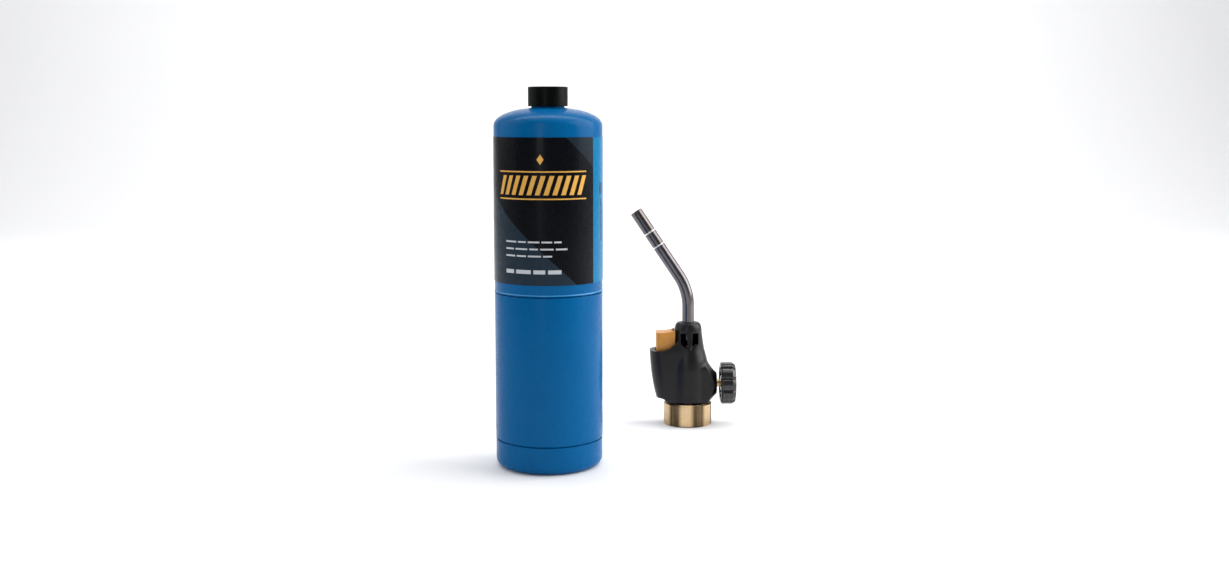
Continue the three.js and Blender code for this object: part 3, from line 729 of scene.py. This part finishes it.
def plates(name, shapes, ink):
    """Thin printed fields on the label. Each shape is (degrees, height, half width, half height, kind)."""
    verts, faces = [], []
    for degrees, height, half_width, half_height, kind in shapes:
        columns, rows = max(8, math.ceil(half_width * 2.5)), 8
        base = len(verts)
        for radius in (LABEL_RADIUS - 0.03, LABEL_RADIUS):
            for j in range(rows + 1):
                for i in range(columns + 1):
                    u, v = 2 * i / columns - 1, 2 * j / rows - 1
                    if kind == "dot":
                        u, v = u * math.sqrt(1 - v * v / 2), v * math.sqrt(1 - u * u / 2)
                    elif kind == "diamond":
                        u, v = (u - v) / 2, (u + v) / 2
                    elif kind == "leaning":
                        u += v * 1.3
                    x = degrees + math.degrees(u * half_width / LABEL_RADIUS)
                    verts.append(wrapped(x, height + v * half_height, radius))

        def at(i, j, top):
            return base + (top * (rows + 1) + j) * (columns + 1) + i

        for j in range(rows):
            for i in range(columns):
                faces.append((at(i, j, 1), at(i + 1, j, 1), at(i + 1, j + 1, 1), at(i, j + 1, 1)))
                faces.append((at(i, j, 0), at(i, j + 1, 0), at(i + 1, j + 1, 0), at(i + 1, j, 0)))
        edge = [(i, 0) for i in range(columns)] + [(columns, j) for j in range(rows)]
        edge += [(i, rows) for i in range(columns, 0, -1)] + [(0, j) for j in range(rows, 0, -1)]
        for a, b in zip(edge, edge[1:] + edge[:1]):
            faces.append((at(*a, 0), at(*b, 0), at(*b, 1), at(*a, 1)))
    obj = mesh_object(name, verts, faces, CYLINDER)
    return finish_piece(obj, "cylinder", "label", ink)


def dashes(height, widths, gap, half_height):
    """A row of dashes that starts at the panel's left margin."""
    x, row = -46.0, []
    for width in widths:
        row.append((x + math.degrees(width / 2 / LABEL_RADIUS), height, width / 2, half_height, "bar"))
        x += math.degrees((width + gap) / LABEL_RADIUS)
    return row


def label_marks():
    """Plain bars and dots where a cylinder's label carries its printing."""
    count, centre, pitch = 11, -5.5, 8.9
    bars = [(centre + (k - (count - 1) / 2) * pitch, 196, 1.6, 6.4, "leaning") for k in range(count)]
    bars += [(centre, height, 33, 0.45, "bar") for height in (187, 205)]
    bars.append((centre, 213, 2.4, 3.4, "diamond"))
    plates("label_gold_bars", bars, INK_GOLD)
    lines = []
    for height, widths in ((158.5, (9, 6, 8, 7, 5)), (153.8, (7, 9, 6, 9, 8)), (149.1, (8, 7, 9, 6))):
        lines += dashes(height, widths, 1.4, 0.55)
    lines += dashes(138.6, (7, 11, 8, 9), 1.8, 1.3)
    lines += [(158, 214 - row * 8.5, 26 - row % 3 * 4, 0.7, "bar") for row in range(9)]
    plates("label_pale_bars", lines, INK_PALE)
    plates("label_stripe_marks", [(73, 193, 3.2, 4.1, "dot"), (75, 172, 1.5, 14, "bar")], INK_NAVY)


def thread(pitch, depth, low, high, cuts, side=1):
    """Relief of a rounded V thread between two heights, fading at both ends.

    cuts(radius) tells whether a part of the outline takes it, and side is -1 for a thread inside a bore.
    """
    def relief(radius, height, angle):
        if not low < height < high or not cuts(radius):
            return radius
        phase = (height / pitch - angle / (2 * math.pi)) % 1
        fade = min(1, (height - low) / (0.6 * pitch), (high - height) / (0.6 * pitch))
        return radius - side * depth * fade * (0.5 + 0.5 * math.cos(2 * math.pi * phase))
    return relief


def valve_neck():
    """The threaded neck, with the well for the head's nose."""
    top = NECK_TOP
    outline = rounded([(10, 243), (10, 249.1), (11.5, 249.1), (NECK_THREAD, 250.0), (NECK_THREAD, top - 0.7),
                       (NECK_THREAD - 0.8, top, 0.15), (5.6, top, 0.3), (5, top - 0.7), (5, 256), (4, 256),
                       (4, 243)])
    outline = finely(outline, 0.2)
    relief = thread(NECK_PITCH, 0.75, 249.9, top - 0.4, lambda r: r > 11)
    turned_piece("valve_neck", outline, 96, CYLINDER, "cylinder", "brass", BRASS, None, relief, 50)


def valve_parts():
    core = closed_ring([(3.9, 244), (3.9, 255.6), (3.6, 255.8), (1.3, 255.8), (1.3, 252), (2.7, 252),
                        (2.7, 245), (1.5, 245), (1.5, 244)], 0.12)
    turned_piece("valve_core", core, 48, CYLINDER, "cylinder", "brass", BRASS)
    pin = rounded([(0, 247), (1, 247), (1, 249.8), (2.3, 249.8), (2.3, 251.7), (1.1, 251.7),
                   (1.1, 257.6, 0.4), (0, 257.6)], 0.15)
    turned_piece("valve_pin", pin, 40, CYLINDER, "valve_pin", "steel", STEEL)
    washer = closed_ring([(1.6, 256.1), (4.8, 256.1), (4.8, 257.2), (1.6, 257.2)], 0.25)
    turned_piece("valve_washer", washer, 64, CYLINDER, "cylinder", "rubber", RUBBER)
    spring = wire_piece("valve_spring", helix(1.8, 245.6, 249.4, 4), 0.25, 8, CYLINDER)
    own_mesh(spring)


def relief_valve():
    """A small crimped valve behind the neck, with a dimple in its plug."""
    outline = rounded([(0, 239), (3, 239), (3, 246.9), (4.2, 247.2), (4.2, 248.0), (3.1, 248.2), (2.5, 248.4),
                       (2.5, 249.5), (1.1, 249.5), (0.8, 248.7), (0, 248.6)], 0.25)
    back = Matrix.Translation((0, RELIEF_BACK, 0))
    turned_piece("relief_valve", outline, 48, CYLINDER, "cylinder", "brass", BRASS, back)


def dust_cap():
    """The screw-on cap: a smooth side, eased edges, and a thread inside."""
    r, bore, low, top = CAP_RADIUS, CAP_RADIUS - 0.75, CAP_LOW, CAP_HIGH
    outline = rounded([(0, top - 1.1), (bore, top - 1.1, 0.3), (bore, low, 0.15), (r - 0.05, low, 0.25),
                       (r, low + 2), (r, top - 0.1, 0.7), (r - 3, top, 0.4), (r - 3.3, top - 0.12, 0.3),
                       (0, top - 0.12)], 0, 6)
    outline = finely(outline, 0.3)
    relief = thread(NECK_PITCH, 0.22, low + 1.2, top - 1.6, lambda r: abs(r - bore) < 0.05, -1)
    turned_piece("dust_cap", outline, 128, CYLINDER, "dust_cap", "cap_plastic", CAP_BLACK, None, relief)


# ---- torch head ----

def collar():
    """The brass inlet: bright chamfers, a flat side with lathe rings, and the female thread."""
    r, top = COLLAR_RADIUS, COLLAR_TOP
    outline = closed_ring([(SOCKET + 0.9, 0), (r - 0.8, 0), (r, 0.8), (r, top - 1.0), (r - 1.0, top),
                           (7, top), (7, SOCKET_DEPTH), (SOCKET, SOCKET_DEPTH), (SOCKET, 0.9)], 0.16)
    outline = finely(outline, 0.25)
    relief = thread(NECK_PITCH, 0.55, 0.8, SOCKET_DEPTH - 1, lambda r: abs(r - SOCKET) < 0.05, -1)
    turned_piece("inlet_collar.fine", outline, 144, HEAD, "head", "brass", COLLAR_BRASS_PAINTED_REFLECTIONS, None, relief, 28)


def tube_line(distance):
    """The burn tube's centreline at a distance along it from its lower end: place and lean."""
    bend_start = TUBE_CORNER - TUBE_BEND * math.tan(TUBE_LEAN / 2)
    straight = bend_start - TUBE_LOW
    if distance <= straight:
        return (0, TUBE_LOW + distance), 0
    angle = min((distance - straight) / TUBE_BEND, TUBE_LEAN)
    rest = max(0, distance - straight - TUBE_BEND * TUBE_LEAN)
    x = TUBE_BEND * (math.cos(angle) - 1) - rest * math.sin(angle)
    z = bend_start + TUBE_BEND * math.sin(angle) + rest * math.cos(angle)
    return (x, z), angle


TUBE_LENGTH = (
    TUBE_CORNER - TUBE_LOW - 2 * TUBE_BEND * math.tan(TUBE_LEAN / 2) + TUBE_BEND * TUBE_LEAN + TUBE_REACH
)
CRIMPS = (19.3, 31.8)  # from the mouth


def burn_tube():
    """The bent tube, with two crimped grooves that hold the flame holder, and an eased mouth."""
    crimp = lambda d: sum(0.4 * math.exp(-((TUBE_LENGTH - d - c) / 0.55) ** 2) for c in CRIMPS)
    near_crimps = {TUBE_LENGTH - c + offset for c in CRIMPS for offset in np.linspace(-2.1, 2.1, 15)}
    places = sorted({*np.linspace(0.4, TUBE_LENGTH - 0.3, 70)} | near_crimps)
    outer = [(*tube_line(d), TUBE_RADIUS - crimp(d)) for d in places]
    inner = [(*tube_line(d), TUBE_BORE - crimp(d) * 0.4) for d in reversed(places)]
    lip = [(0.1, TUBE_RADIUS - 0.08), (0, TUBE_RADIUS - 0.25), (0, TUBE_BORE + 0.2), (0.12, TUBE_BORE + 0.05)]
    mouth = [(*tube_line(TUBE_LENGTH - back), radius) for back, radius in lip]
    foot = [(*tube_line(0), TUBE_BORE + 0.2), (*tube_line(0), TUBE_RADIUS - 0.2)]
    stations = [(place, radius, lean) for place, lean, radius in outer + mouth + inner + foot]
    tube = mesh_object("burn_tube.fine", *swept(stations), HEAD, sharp=40)
    finish_piece(tube, "head", "tube_steel", [TUBE_STEEL, CRIMP_PAINTED_HIGHLIGHT], "burn_tube")
    # rings at the crimps take the paler steel: painted highlights along the grooves
    for ring, d in enumerate(places):
        if any(abs(TUBE_LENGTH - d - c) < 0.5 for c in CRIMPS):
            for face in range(ring * SWEPT_SIDES, (ring + 1) * SWEPT_SIDES):
                tube.data.polygons[face].material_index = 1


def flame_holder():
    """The brass insert: a centre hole, a ring of gas holes, and the hole that the insulator passes."""
    outline = rounded([(0, -33), (3.8, -33), (3.8, -18), (0, -18)], 0.3)
    plug = mesh_object("flame_holder.fine", *turned(outline, 64), HEAD, AT_TIP)
    holes = [((0, 0), 0.8), ((-2.4, 0), 1.45)]
    for a in map(math.radians, (-100, -50, 0, 50, 100)):
        holes.append(((2.5 * math.cos(a), 2.5 * math.sin(a)), 0.75))
    cutters = [in_head(rod((x, y, -34), (x, y, -17), radius, 24), AT_TIP) for (x, y), radius in holes]
    combine(plug, united("holes", cutters), "DIFFERENCE")
    smooth(plug, 40)
    finish_piece(plug, "head", "brass", BRASS_CAST, "flame_holder")


def spark_gap():
    """Insulator and electrode behind the mouth."""
    aside = Matrix.Translation((-2.4, 0, 0))
    tube = closed_ring([(0.5, -36), (1.3, -36), (1.3, -12), (0.5, -12)], 0.2)
    turned_piece("electrode_insulator.fine", tube, 40, HEAD, "head", "ceramic", CERAMIC, AT_TIP @ aside)
    route = [(-2.4, 0, -35), (-2.4, 0, -14), (-2.4, 0, -11.6), (-2.25, 0, -10.7), (-1.9, 0, -10),
             (-1.2, 0, -9.2), (-0.4, 0, -8.6)]
    wire_piece("spark_electrode.fine", route, 0.4, 12, HEAD, AT_TIP)


# -- housing --

COLUMN = [(16, 14), (16, 44), (15.3, 50.5), (14, 55.3), (12.65, 60), (11.6, 67), (10.9, 71.8), (10.65, 76.5),
          (9.6, 79.2), (8.2, TOWER_TOP + 0.1)]
TRUMPET = [(18.8, 4), (18.7, 14.1), (16.7, 15.9), (13.9, 17.7), (11.6, 19.4), (9.8, 21.0), (8.8, 22.0),
           (8.2, 22.8), (8.1, 26)]  # radius, distance from the head's axis
SLIM = [(3, 13), (9, 12.9), (15, 11.6), (21, 9.6), (30, 8.6)]  # place, the trumpet's half depth there
POD_LEFT = [(16, -24.0), (22.6, -25.1), (27, -26.3), (34, -27.7), (41.1, -28.8), (50.5, -29.7),
            (57.6, -30.05), (74, -30.4)]  # height, place
POD_DEPTH = [(16, 12.7), (30, 13.2), (45, 13.35), (58, 12.8), (67, 11.6), (74, 11)]  # height, half depth
LOWER_EDGE = [(-60, 21.6), (-24.6, 21.6), (-20, 21.3), (-17.6, 20), (-15.7, HOUSING_LOW), (15.7, HOUSING_LOW),
              (16.7, 19.5), (18.5, 20.2), (21, 21.2), (24, 22.4), (60, 23)]
SCOOP = [(-60, 58.6), (-29, 58.6), (-19.3, 59.1), (-14.8, 61.0), (-11, 63.7), (-8, 66.9), (-6.4, 70)]


def pod(wall):
    """The lobe under the button: rounded sections that grow to the left as they rise."""
    verts = []
    for z in np.linspace(16 + wall * 2.7, 74, 30):
        left = np.interp(z, *zip(*POD_LEFT)) + wall
        depth = np.interp(z, *zip(*POD_DEPTH)) - wall
        corner = 9.5 - wall
        ring = [(2, -depth), (left + corner, -depth)]
        ring += [(left + corner - corner * sine, -depth + corner - corner * cosine)
                 for sine, cosine in quarter(8)[1:]]
        ring += [(x, -y) for x, y in reversed(ring)]
        verts += [(x, y, z) for x, y in ring]
    return capped(verts, len(ring))


def blended_body():
    """Column, trumpet and pod grown together, oversize where they are trimmed afterwards."""
    column = in_head(turned([(0, 14), *rounded(COLUMN, 6), (0, TOWER_TOP + 0.1)], 96))
    trumpet = in_head(turned([(0, 4), *TRUMPET, (0, 26)], 96), ALONG_STEM)
    slim = [(x, -half) for x, half in SLIM] + SLIM[::-1]
    combine(trumpet, in_head(prism(slim, 0, 90, "plan")), "INTERSECT")
    return evened(united("housing", [column, trumpet, in_head(pod(0))]), 0.55, 30)


def trims():
    """What is cut off the blended body: below the lower edge, beyond the face, and above the scoop."""
    under = in_head(prism([*LOWER_EDGE, (60, 0), (-60, 0)], -40, 40, "front"))
    beyond = in_head(box((FACE, -40, 0), (50, 40, 90)))
    above = in_head(prism([*rounded(SCOOP, 8), (-6.4, 95), (-60, 95)], -40, 40, "front"))
    tower = [(0, 50), *[point for point in COLUMN if point[1] > 50], (8.2, 96), (0, 96)]
    combine(above, in_head(turned(tower, 96)), "DIFFERENCE")
    return [under, beyond, above]


def at_screws(*rods):
    """Rods at the housing screws, from front to back. Each is (start, end, radius)."""
    return [in_head(rod((x, start, z), (x, end, z), radius))
            for x, z in SCREW_PLACES for start, end, radius in rods]


def hollow():
    """The space inside, less the screw posts."""
    inside = [(r - HOUSING_WALL, z) for r, z in COLUMN if 20 < z < 74]
    column = in_head(turned([(0, 20.3), (13.6, 20.3), *inside, (8.7, 74.5), (0, 74.5)], 64))
    room = in_head(pod(HOUSING_WALL))
    lid = [*[(x, z - HOUSING_WALL) for x, z in SCOOP], (-6.4, 95), (-60, 95)]
    low = [*[(x, z + HOUSING_WALL) for x, z in LOWER_EDGE], (60, 0), (-60, 0)]
    for outline in (lid, low):
        combine(room, in_head(prism(outline, -40, 40, "front")), "DIFFERENCE")
    combine(column, room, "UNION")
    combine(column, in_head(rod((0, 0, VALVE_AXIS), (FACE - 2, 0, VALVE_AXIS), 7.6, 48)), "UNION")
    return combine(column, united("posts", at_screws((-20, 20, 2.2), (7, 20, 3.1))), "DIFFERENCE")


def air_inlets():
    """Two windows at the front with sloping sills that meet in a point below the rib between them."""
    left = [(-6.1, 72.6), (-6.2, 64.6), (-5.6, 63.6), (0.55, 58.9), (-0.95, 63.5), (-1.6, 72.6)]
    right = [(7.4, 72.6), (7.5, 64.6), (6.9, 63.6), (0.95, 58.9), (2.45, 63.5), (3.1, 72.6)]
    slope = [(-4, 64.4), (-9.0, 64.2), (-14, 57.2), (-20, 57.2), (-20, 80), (-4, 80)]
    cutters = []
    for outline in (left, right):
        sill = in_head(prism(slope, -12, 12, "side"))
        cutters.append(combine(in_head(prism(outline, -18, -4, "front")), sill, "INTERSECT"))
    return cutters


def button_plan(grow):
    """The button from above: rounded on the left, hollow where it passes the tower."""
    left, depth, radius, corner = -25.2 - grow, 8 + grow, 13.2 - grow, 2.6 + grow
    half = math.asin(depth / radius)
    ring = [(-radius * math.cos(a), -radius * math.sin(a)) for a in np.linspace(half, -half, 17)]
    ring += [(left + corner - corner * sine, depth - corner + corner * cosine) for sine, cosine in quarter(6)]
    ring += [(x, -y) for x, y in reversed(ring[17:])]
    return ring


def housing_openings():
    """Cutters for the collar's neck, the tube, the stem, the button, the windows and the screws."""
    cutters = [
        in_head(rod((0, 0, 15), (0, 0, 21), 10, 64)),
        in_head(rod((0, 0, 70), (0, 0, 84), 5.05, 64)),
        in_head(rod((19, 0, VALVE_AXIS), (26, 0, VALVE_AXIS), 5.7, 64)),
        in_head(prism(button_plan(0.45), 50, 84, "plan")),
    ]
    return cutters + air_inlets() + at_screws((-9, 9, 1.15), (8, 22, 2.4))


def housing():
    """The two moulded halves, with eased edges along their joint."""
    body = blended_body()
    for cutter in [*trims(), hollow(), *housing_openings()]:
        combine(body, cutter, "DIFFERENCE")
    for side, front, back in (("front", -40, -HOUSING_SPLIT), ("back", HOUSING_SPLIT, 40)):
        piece = body.copy()
        piece.data = body.data.copy()
        piece.name = f"housing_shell_{side}"
        bpy.context.scene.collection.objects.link(piece)
        combine(piece, in_head(box((-40, front, 0), (40, back, 90))), "INTERSECT")
        evened(piece, 0.3, 2)
        smooth(piece, 60)
        finish_piece(piece, "head", "housing_plastic", HOUSING, f"housing_{side}")
    bpy.data.objects.remove(body)


# -- button, igniter, valve --

def ignition_button():
    """A thumb block with eased edges, its top rising towards the tower."""
    block = mesh_object("ignition_button.fine", *prism(button_plan(0), 57, 78, "plan"), HEAD)
    rise = [(x, 72.8 + 1.5 * max(0, (x + 19.5) / 8.5) ** 1.6) for x in np.linspace(-19.5, -8, 12)]
    side = [(-27, 50), (-7, 50), (-7, rise[-1][1]), *rise[::-1], (-27, 72.75)]
    combine(block, in_head(prism(side, -12, 12, "front")), "INTERSECT")
    combine(block, in_head(prism(button_plan(-1.6), 50, 62, "plan")), "DIFFERENCE")
    edges_eased(block, 0.7, 4, 50)
    finish_piece(block, "button", "orange_plastic", ORANGE, "ignition_button")


def upright(name, half, low, high):
    """A square bar round the igniter's axis."""
    return mesh_object(name, *box((PIEZO_X - half, -half, low), (PIEZO_X + half, half, high)), HEAD)


def igniter():
    """The piezo's body and plunger, and the button's return spring round the plunger."""
    body = combine(upright("piezo_body.fine", 4.5, 28, 46), upright("socket", 2.6, 34, 50), "DIFFERENCE")
    plunger = upright("piezo_plunger.fine", 2.2, 42, 61.7)
    for obj, ride in ((body, "head"), (plunger, "button")):
        edges_eased(obj, 0.35, 3)
        finish_piece(obj, ride, "igniter_plastic", IGNITER, node_of(obj.name))
    spring = [(x + PIEZO_X, y, z) for x, y, z in helix(3.5, 46.6, 61.4, 5)]
    spring = wire_piece("button_spring.fine", spring, 0.3, 10, HEAD)
    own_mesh(spring)


def knob_relief(radius, height, angle):
    """Ten lobes with narrow grooves between them, fading towards the hub."""
    if radius < 12:
        return radius
    pitch = 2 * math.pi / KNOB_LOBES
    offset = (angle - math.pi - KNOB_PHASE + pitch / 2) % pitch - pitch / 2
    groove = math.exp(-((abs(offset) * radius / 0.95) ** 2.4))
    crown = 0.28 * (offset / (pitch / 2)) ** 2
    share = min(1, (radius - 12) / 2.5)
    return radius - share * (1.35 * groove + 0.3 - crown)


def flow_knob():
    """The lobed knob: shallow dish behind, bevelled rim and a recess with a screw in front."""
    bore, rim, back, front = STEM_RADIUS + 0.05, KNOB_RADIUS + 0.3, KNOB_BACK, KNOB_FRONT
    outline = closed_ring([
        (bore, back + 0.3, 0.1), (5.5, back + 0.3, 0.4), (6.2, back + 1.6, 0.5), (12.6, back + 1.6, 0.5),
        (13.4, back, 0.4), (15.5, back, 0.4), (rim, back + 1.0, 0.5), (rim, KNOB_RIM, 0.8),
        (15.2, front - 0.4, 0.6), (13.4, front, 0.8), (5.6, front, 0.4), (5, front - 0.6, 0.2),
        (5, STEM_END + 1.2, 0.2), (1.2, STEM_END + 1.2), (1.2, STEM_END + 0.2), (bore, STEM_END + 0.2),
    ])
    outline = finely(outline, 0.5)
    turned_piece("flow_knob.fine", outline, 240, HEAD, "knob", "knob_plastic", KNOB, ALONG_STEM,
                 knob_relief, 38)


def pan_screw(name, head_radius, shank_radius, seat, top, tip, matrix, body):
    """A pan-head screw with a cross recess, along its own Z."""
    outline = rounded([(0, tip), (shank_radius * 0.5, tip), (shank_radius, tip + 0.8), (shank_radius, seat),
                       (head_radius, seat, 0.15), (head_radius, seat + (top - seat) * 0.45, 0.3),
                       (head_radius * 0.6, top, 0.6), (0, top)], 0.05)
    depth = shank_radius * 0.22
    relief = thread(STEM_PITCH, depth, tip + 0.4, seat - 0.2, lambda r: r <= shank_radius + 0.01)
    screw = mesh_object(name, *turned(finely(outline, 0.2), 40, relief), HEAD, matrix)
    length, width = head_radius * 0.62, head_radius * 0.16
    cross = [in_head(box((-x, -y, top - 0.9), (x, y, top + 1)), matrix)
             for x, y in ((length, width), (width, length))]
    combine(screw, united("cross", cross), "DIFFERENCE")
    smooth(screw, 40)
    finish_piece(screw, body, "steel", STEEL_SCREW, node_of(name))


def screws():
    for i, (x, z) in enumerate(SCREW_PLACES, start=1):
        outward = axes(x=(1, 0, 0), y=(0, 0, -1), z=(0, 1, 0), origin=(x, 0, z))
        pan_screw(f"housing_screw_{i}.fine", 2.1, 1.0, 8.3, 10.2, -8, outward, "head")
    pan_screw("knob_screw.fine", 3.0, 0.85, KNOB_RIM, KNOB_RIM + 2, 27, ALONG_STEM, "knob")


def valve_stem():
    """The brass stem, with a fine thread inside the valve, and the needle in front of it."""
    r, end = STEM_RADIUS, STEM_END
    outline = rounded([(0, 10.5), (r - 0.5, 10.5), (r, 11), (r, end, 0.25), (0.95, end), (0.95, 26),
                       (0, 26)], 0.1)
    outline = finely(outline, 0.2)
    relief = thread(STEM_PITCH, 0.35, 11, 15.5, lambda r: r > 2.5)
    turned_piece("valve_stem.fine", outline, 64, HEAD, "knob", "brass", BRASS_STEM, ALONG_STEM, relief)
    needle = rounded([(0, 3.5), (0.2, 3.5), (0.9, 5), (1.9, 7.2), (1.9, 10.2), (0, 10.2)], 0.15)
    turned_piece("valve_needle.fine", needle, 40, HEAD, "needle", "steel", STEEL, ALONG_STEM)


def packing_nut():
    """A chamfered hexagon nut."""
    hexagon = [(5.5 * math.cos(a), 5.5 * math.sin(a)) for a in np.arange(6) * math.pi / 3]
    nut = mesh_object("packing_nut.fine", *prism(hexagon, 17.3, 21, "plan"), HEAD, ALONG_STEM)
    rounds = closed_ring([(3.1, 17.3), (4.9, 17.3), (5.6, 17.9), (5.6, 20.4), (4.9, 21), (3.1, 21)])
    combine(nut, in_head(turned(rounds, 64), ALONG_STEM), "INTERSECT")
    finish_piece(smooth(nut), "head", "brass", BRASS_STEM, "packing_nut")


def gas_jet():
    outline = closed_ring([(2.1, 49.6), (2.1, 54.3), (3.2, 54.3), (3.2, 58), (1.4, 62), (0.4, 62), (0.4, 56),
                           (1.2, 55), (1.2, 49.6)], 0.12)
    turned_piece("gas_jet.fine", outline, 48, HEAD, "head", "brass", BRASS)


def inlet_parts():
    """What shows up inside the collar: the seal and the pin."""
    seal = closed_ring([(3.8, 10.1), (6.5, 10.1), (6.5, 11.2), (3.8, 11.2)], 0.3)
    turned_piece("inlet_seal.fine", seal, 64, HEAD, "head", "rubber", RUBBER)
    pin = rounded([(0, 5.2), (0.8, 5.2), (1.2, 5.6), (1.2, 11), (2.3, 11), (2.3, 12.5), (0, 12.5)], 0.15)
    turned_piece("depressor_pin.fine", pin, 40, HEAD, "head", "brass", BRASS)


def plain_nodes():
    """Inner CAD nodes that keep their shape and take a finish."""
    finishes = (("valve_body", BRASS_CAST), ("inlet_filter", STEEL), ("stem_seal_ring", RUBBER),
                ("ignition_lead", SILICONE))
    for name, material in finishes:
        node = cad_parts[name]
        node.data.materials.clear()
        node.data.materials.append(material)
        node.data.shade_smooth()
        node.data.set_sharp_from_angle(angle=math.radians(35))


# ---- stage ----

def floor():
    """A pale floor that curves up into a pale backdrop, in metres."""
    depth, rise, bend, far = 2.6, 3.2, 0.9, 16.0
    profile = [(-far, 0.0), (depth - bend, 0.0)]
    profile += [(depth - bend + bend * sine, bend - bend * cosine) for sine, cosine in quarter(15)[1:]]
    profile.append((depth, rise))
    verts = [(x, y, z) for x in (-far, far) for y, z in profile]
    n = len(profile)
    faces = [(i, n + i, n + i + 1, i + 1) for i in range(n - 1)]
    mesh = bpy.data.meshes.new("floor")
    mesh.from_pydata(verts, [], faces)
    mesh.shade_smooth()
    mesh.materials.append(Finish("backdrop_paper", (0.86, 0.86, 0.87, 1), 0.7).material)
    linked("floor", mesh)


def area_light(name, place, target, size, power):
    """A soft box that faces a target. Its place and size are in metres."""
    light = bpy.data.lights.new(name, "AREA")
    light.shape = "RECTANGLE"
    light.size, light.size_y = size
    light.energy = power
    obj = linked(name, light)
    obj.location = place
    obj.rotation_euler = (Vector(target) - Vector(place)).to_track_quat("-Z", "Y").to_euler()


def lights():
    centre = (0, 0, 0.13)
    area_light("left_box", (-1.3, 0.0, 0.86), centre, (1.4, 1.5), 8)
    area_light("right_box", (1.3, 0.0, 0.86), centre, (1.4, 1.5), 30)
    area_light("top_box", (0.0, 0.1, 1.5), centre, (1.3, 1.0), 5)
    area_light("front_strip", (-0.42, -1.55, 0.74), centre, (0.4, 1.3), 4.5)
    area_light("backdrop_light", (0, 0.7, 2.2), (0, 2.4, 0.4), (3.0, 0.8), 60)
    world = bpy.data.worlds.new("studio")
    world.use_nodes = True
    sky = world.node_tree.nodes["Background"].inputs
    sky["Color"].default_value = (0.95, 0.97, 1.0, 1)
    sky["Strength"].default_value = 0.18
    bpy.context.scene.world = world


def camera():
    """Level with the cylinder's shoulder, a little right of it, looking down slightly."""
    data = bpy.data.cameras.new("camera")
    data.sensor_width = 36
    data.lens = 38.93
    data.shift_x, data.shift_y = 0.0028, -0.0254
    data.clip_start, data.clip_end = 0.05, 50
    obj = linked("camera", data)
    right, back, height, pitch = 43, 910, 245.4, 6.0
    obj.location = ((CYLINDER[0] + right) * MM, (CYLINDER[1] - back) * MM, height * MM)
    obj.rotation_euler = (math.radians(90 - pitch), 0, 0)
    bpy.context.scene.camera = obj


camera()
upper_shell()
lower_shell()
foot_cup()
label()
label_marks()
valve_neck()
valve_parts()
relief_valve()
dust_cap()
collar()
burn_tube()
flame_holder()
spark_gap()
housing()
ignition_button()
igniter()
flow_knob()
screws()
valve_stem()
packing_nut()
gas_jet()
inlet_parts()
plain_nodes()
floor()
lights()
bpy.context.scene.view_settings.view_transform = "Standard"
bpy.context.view_layer.update()
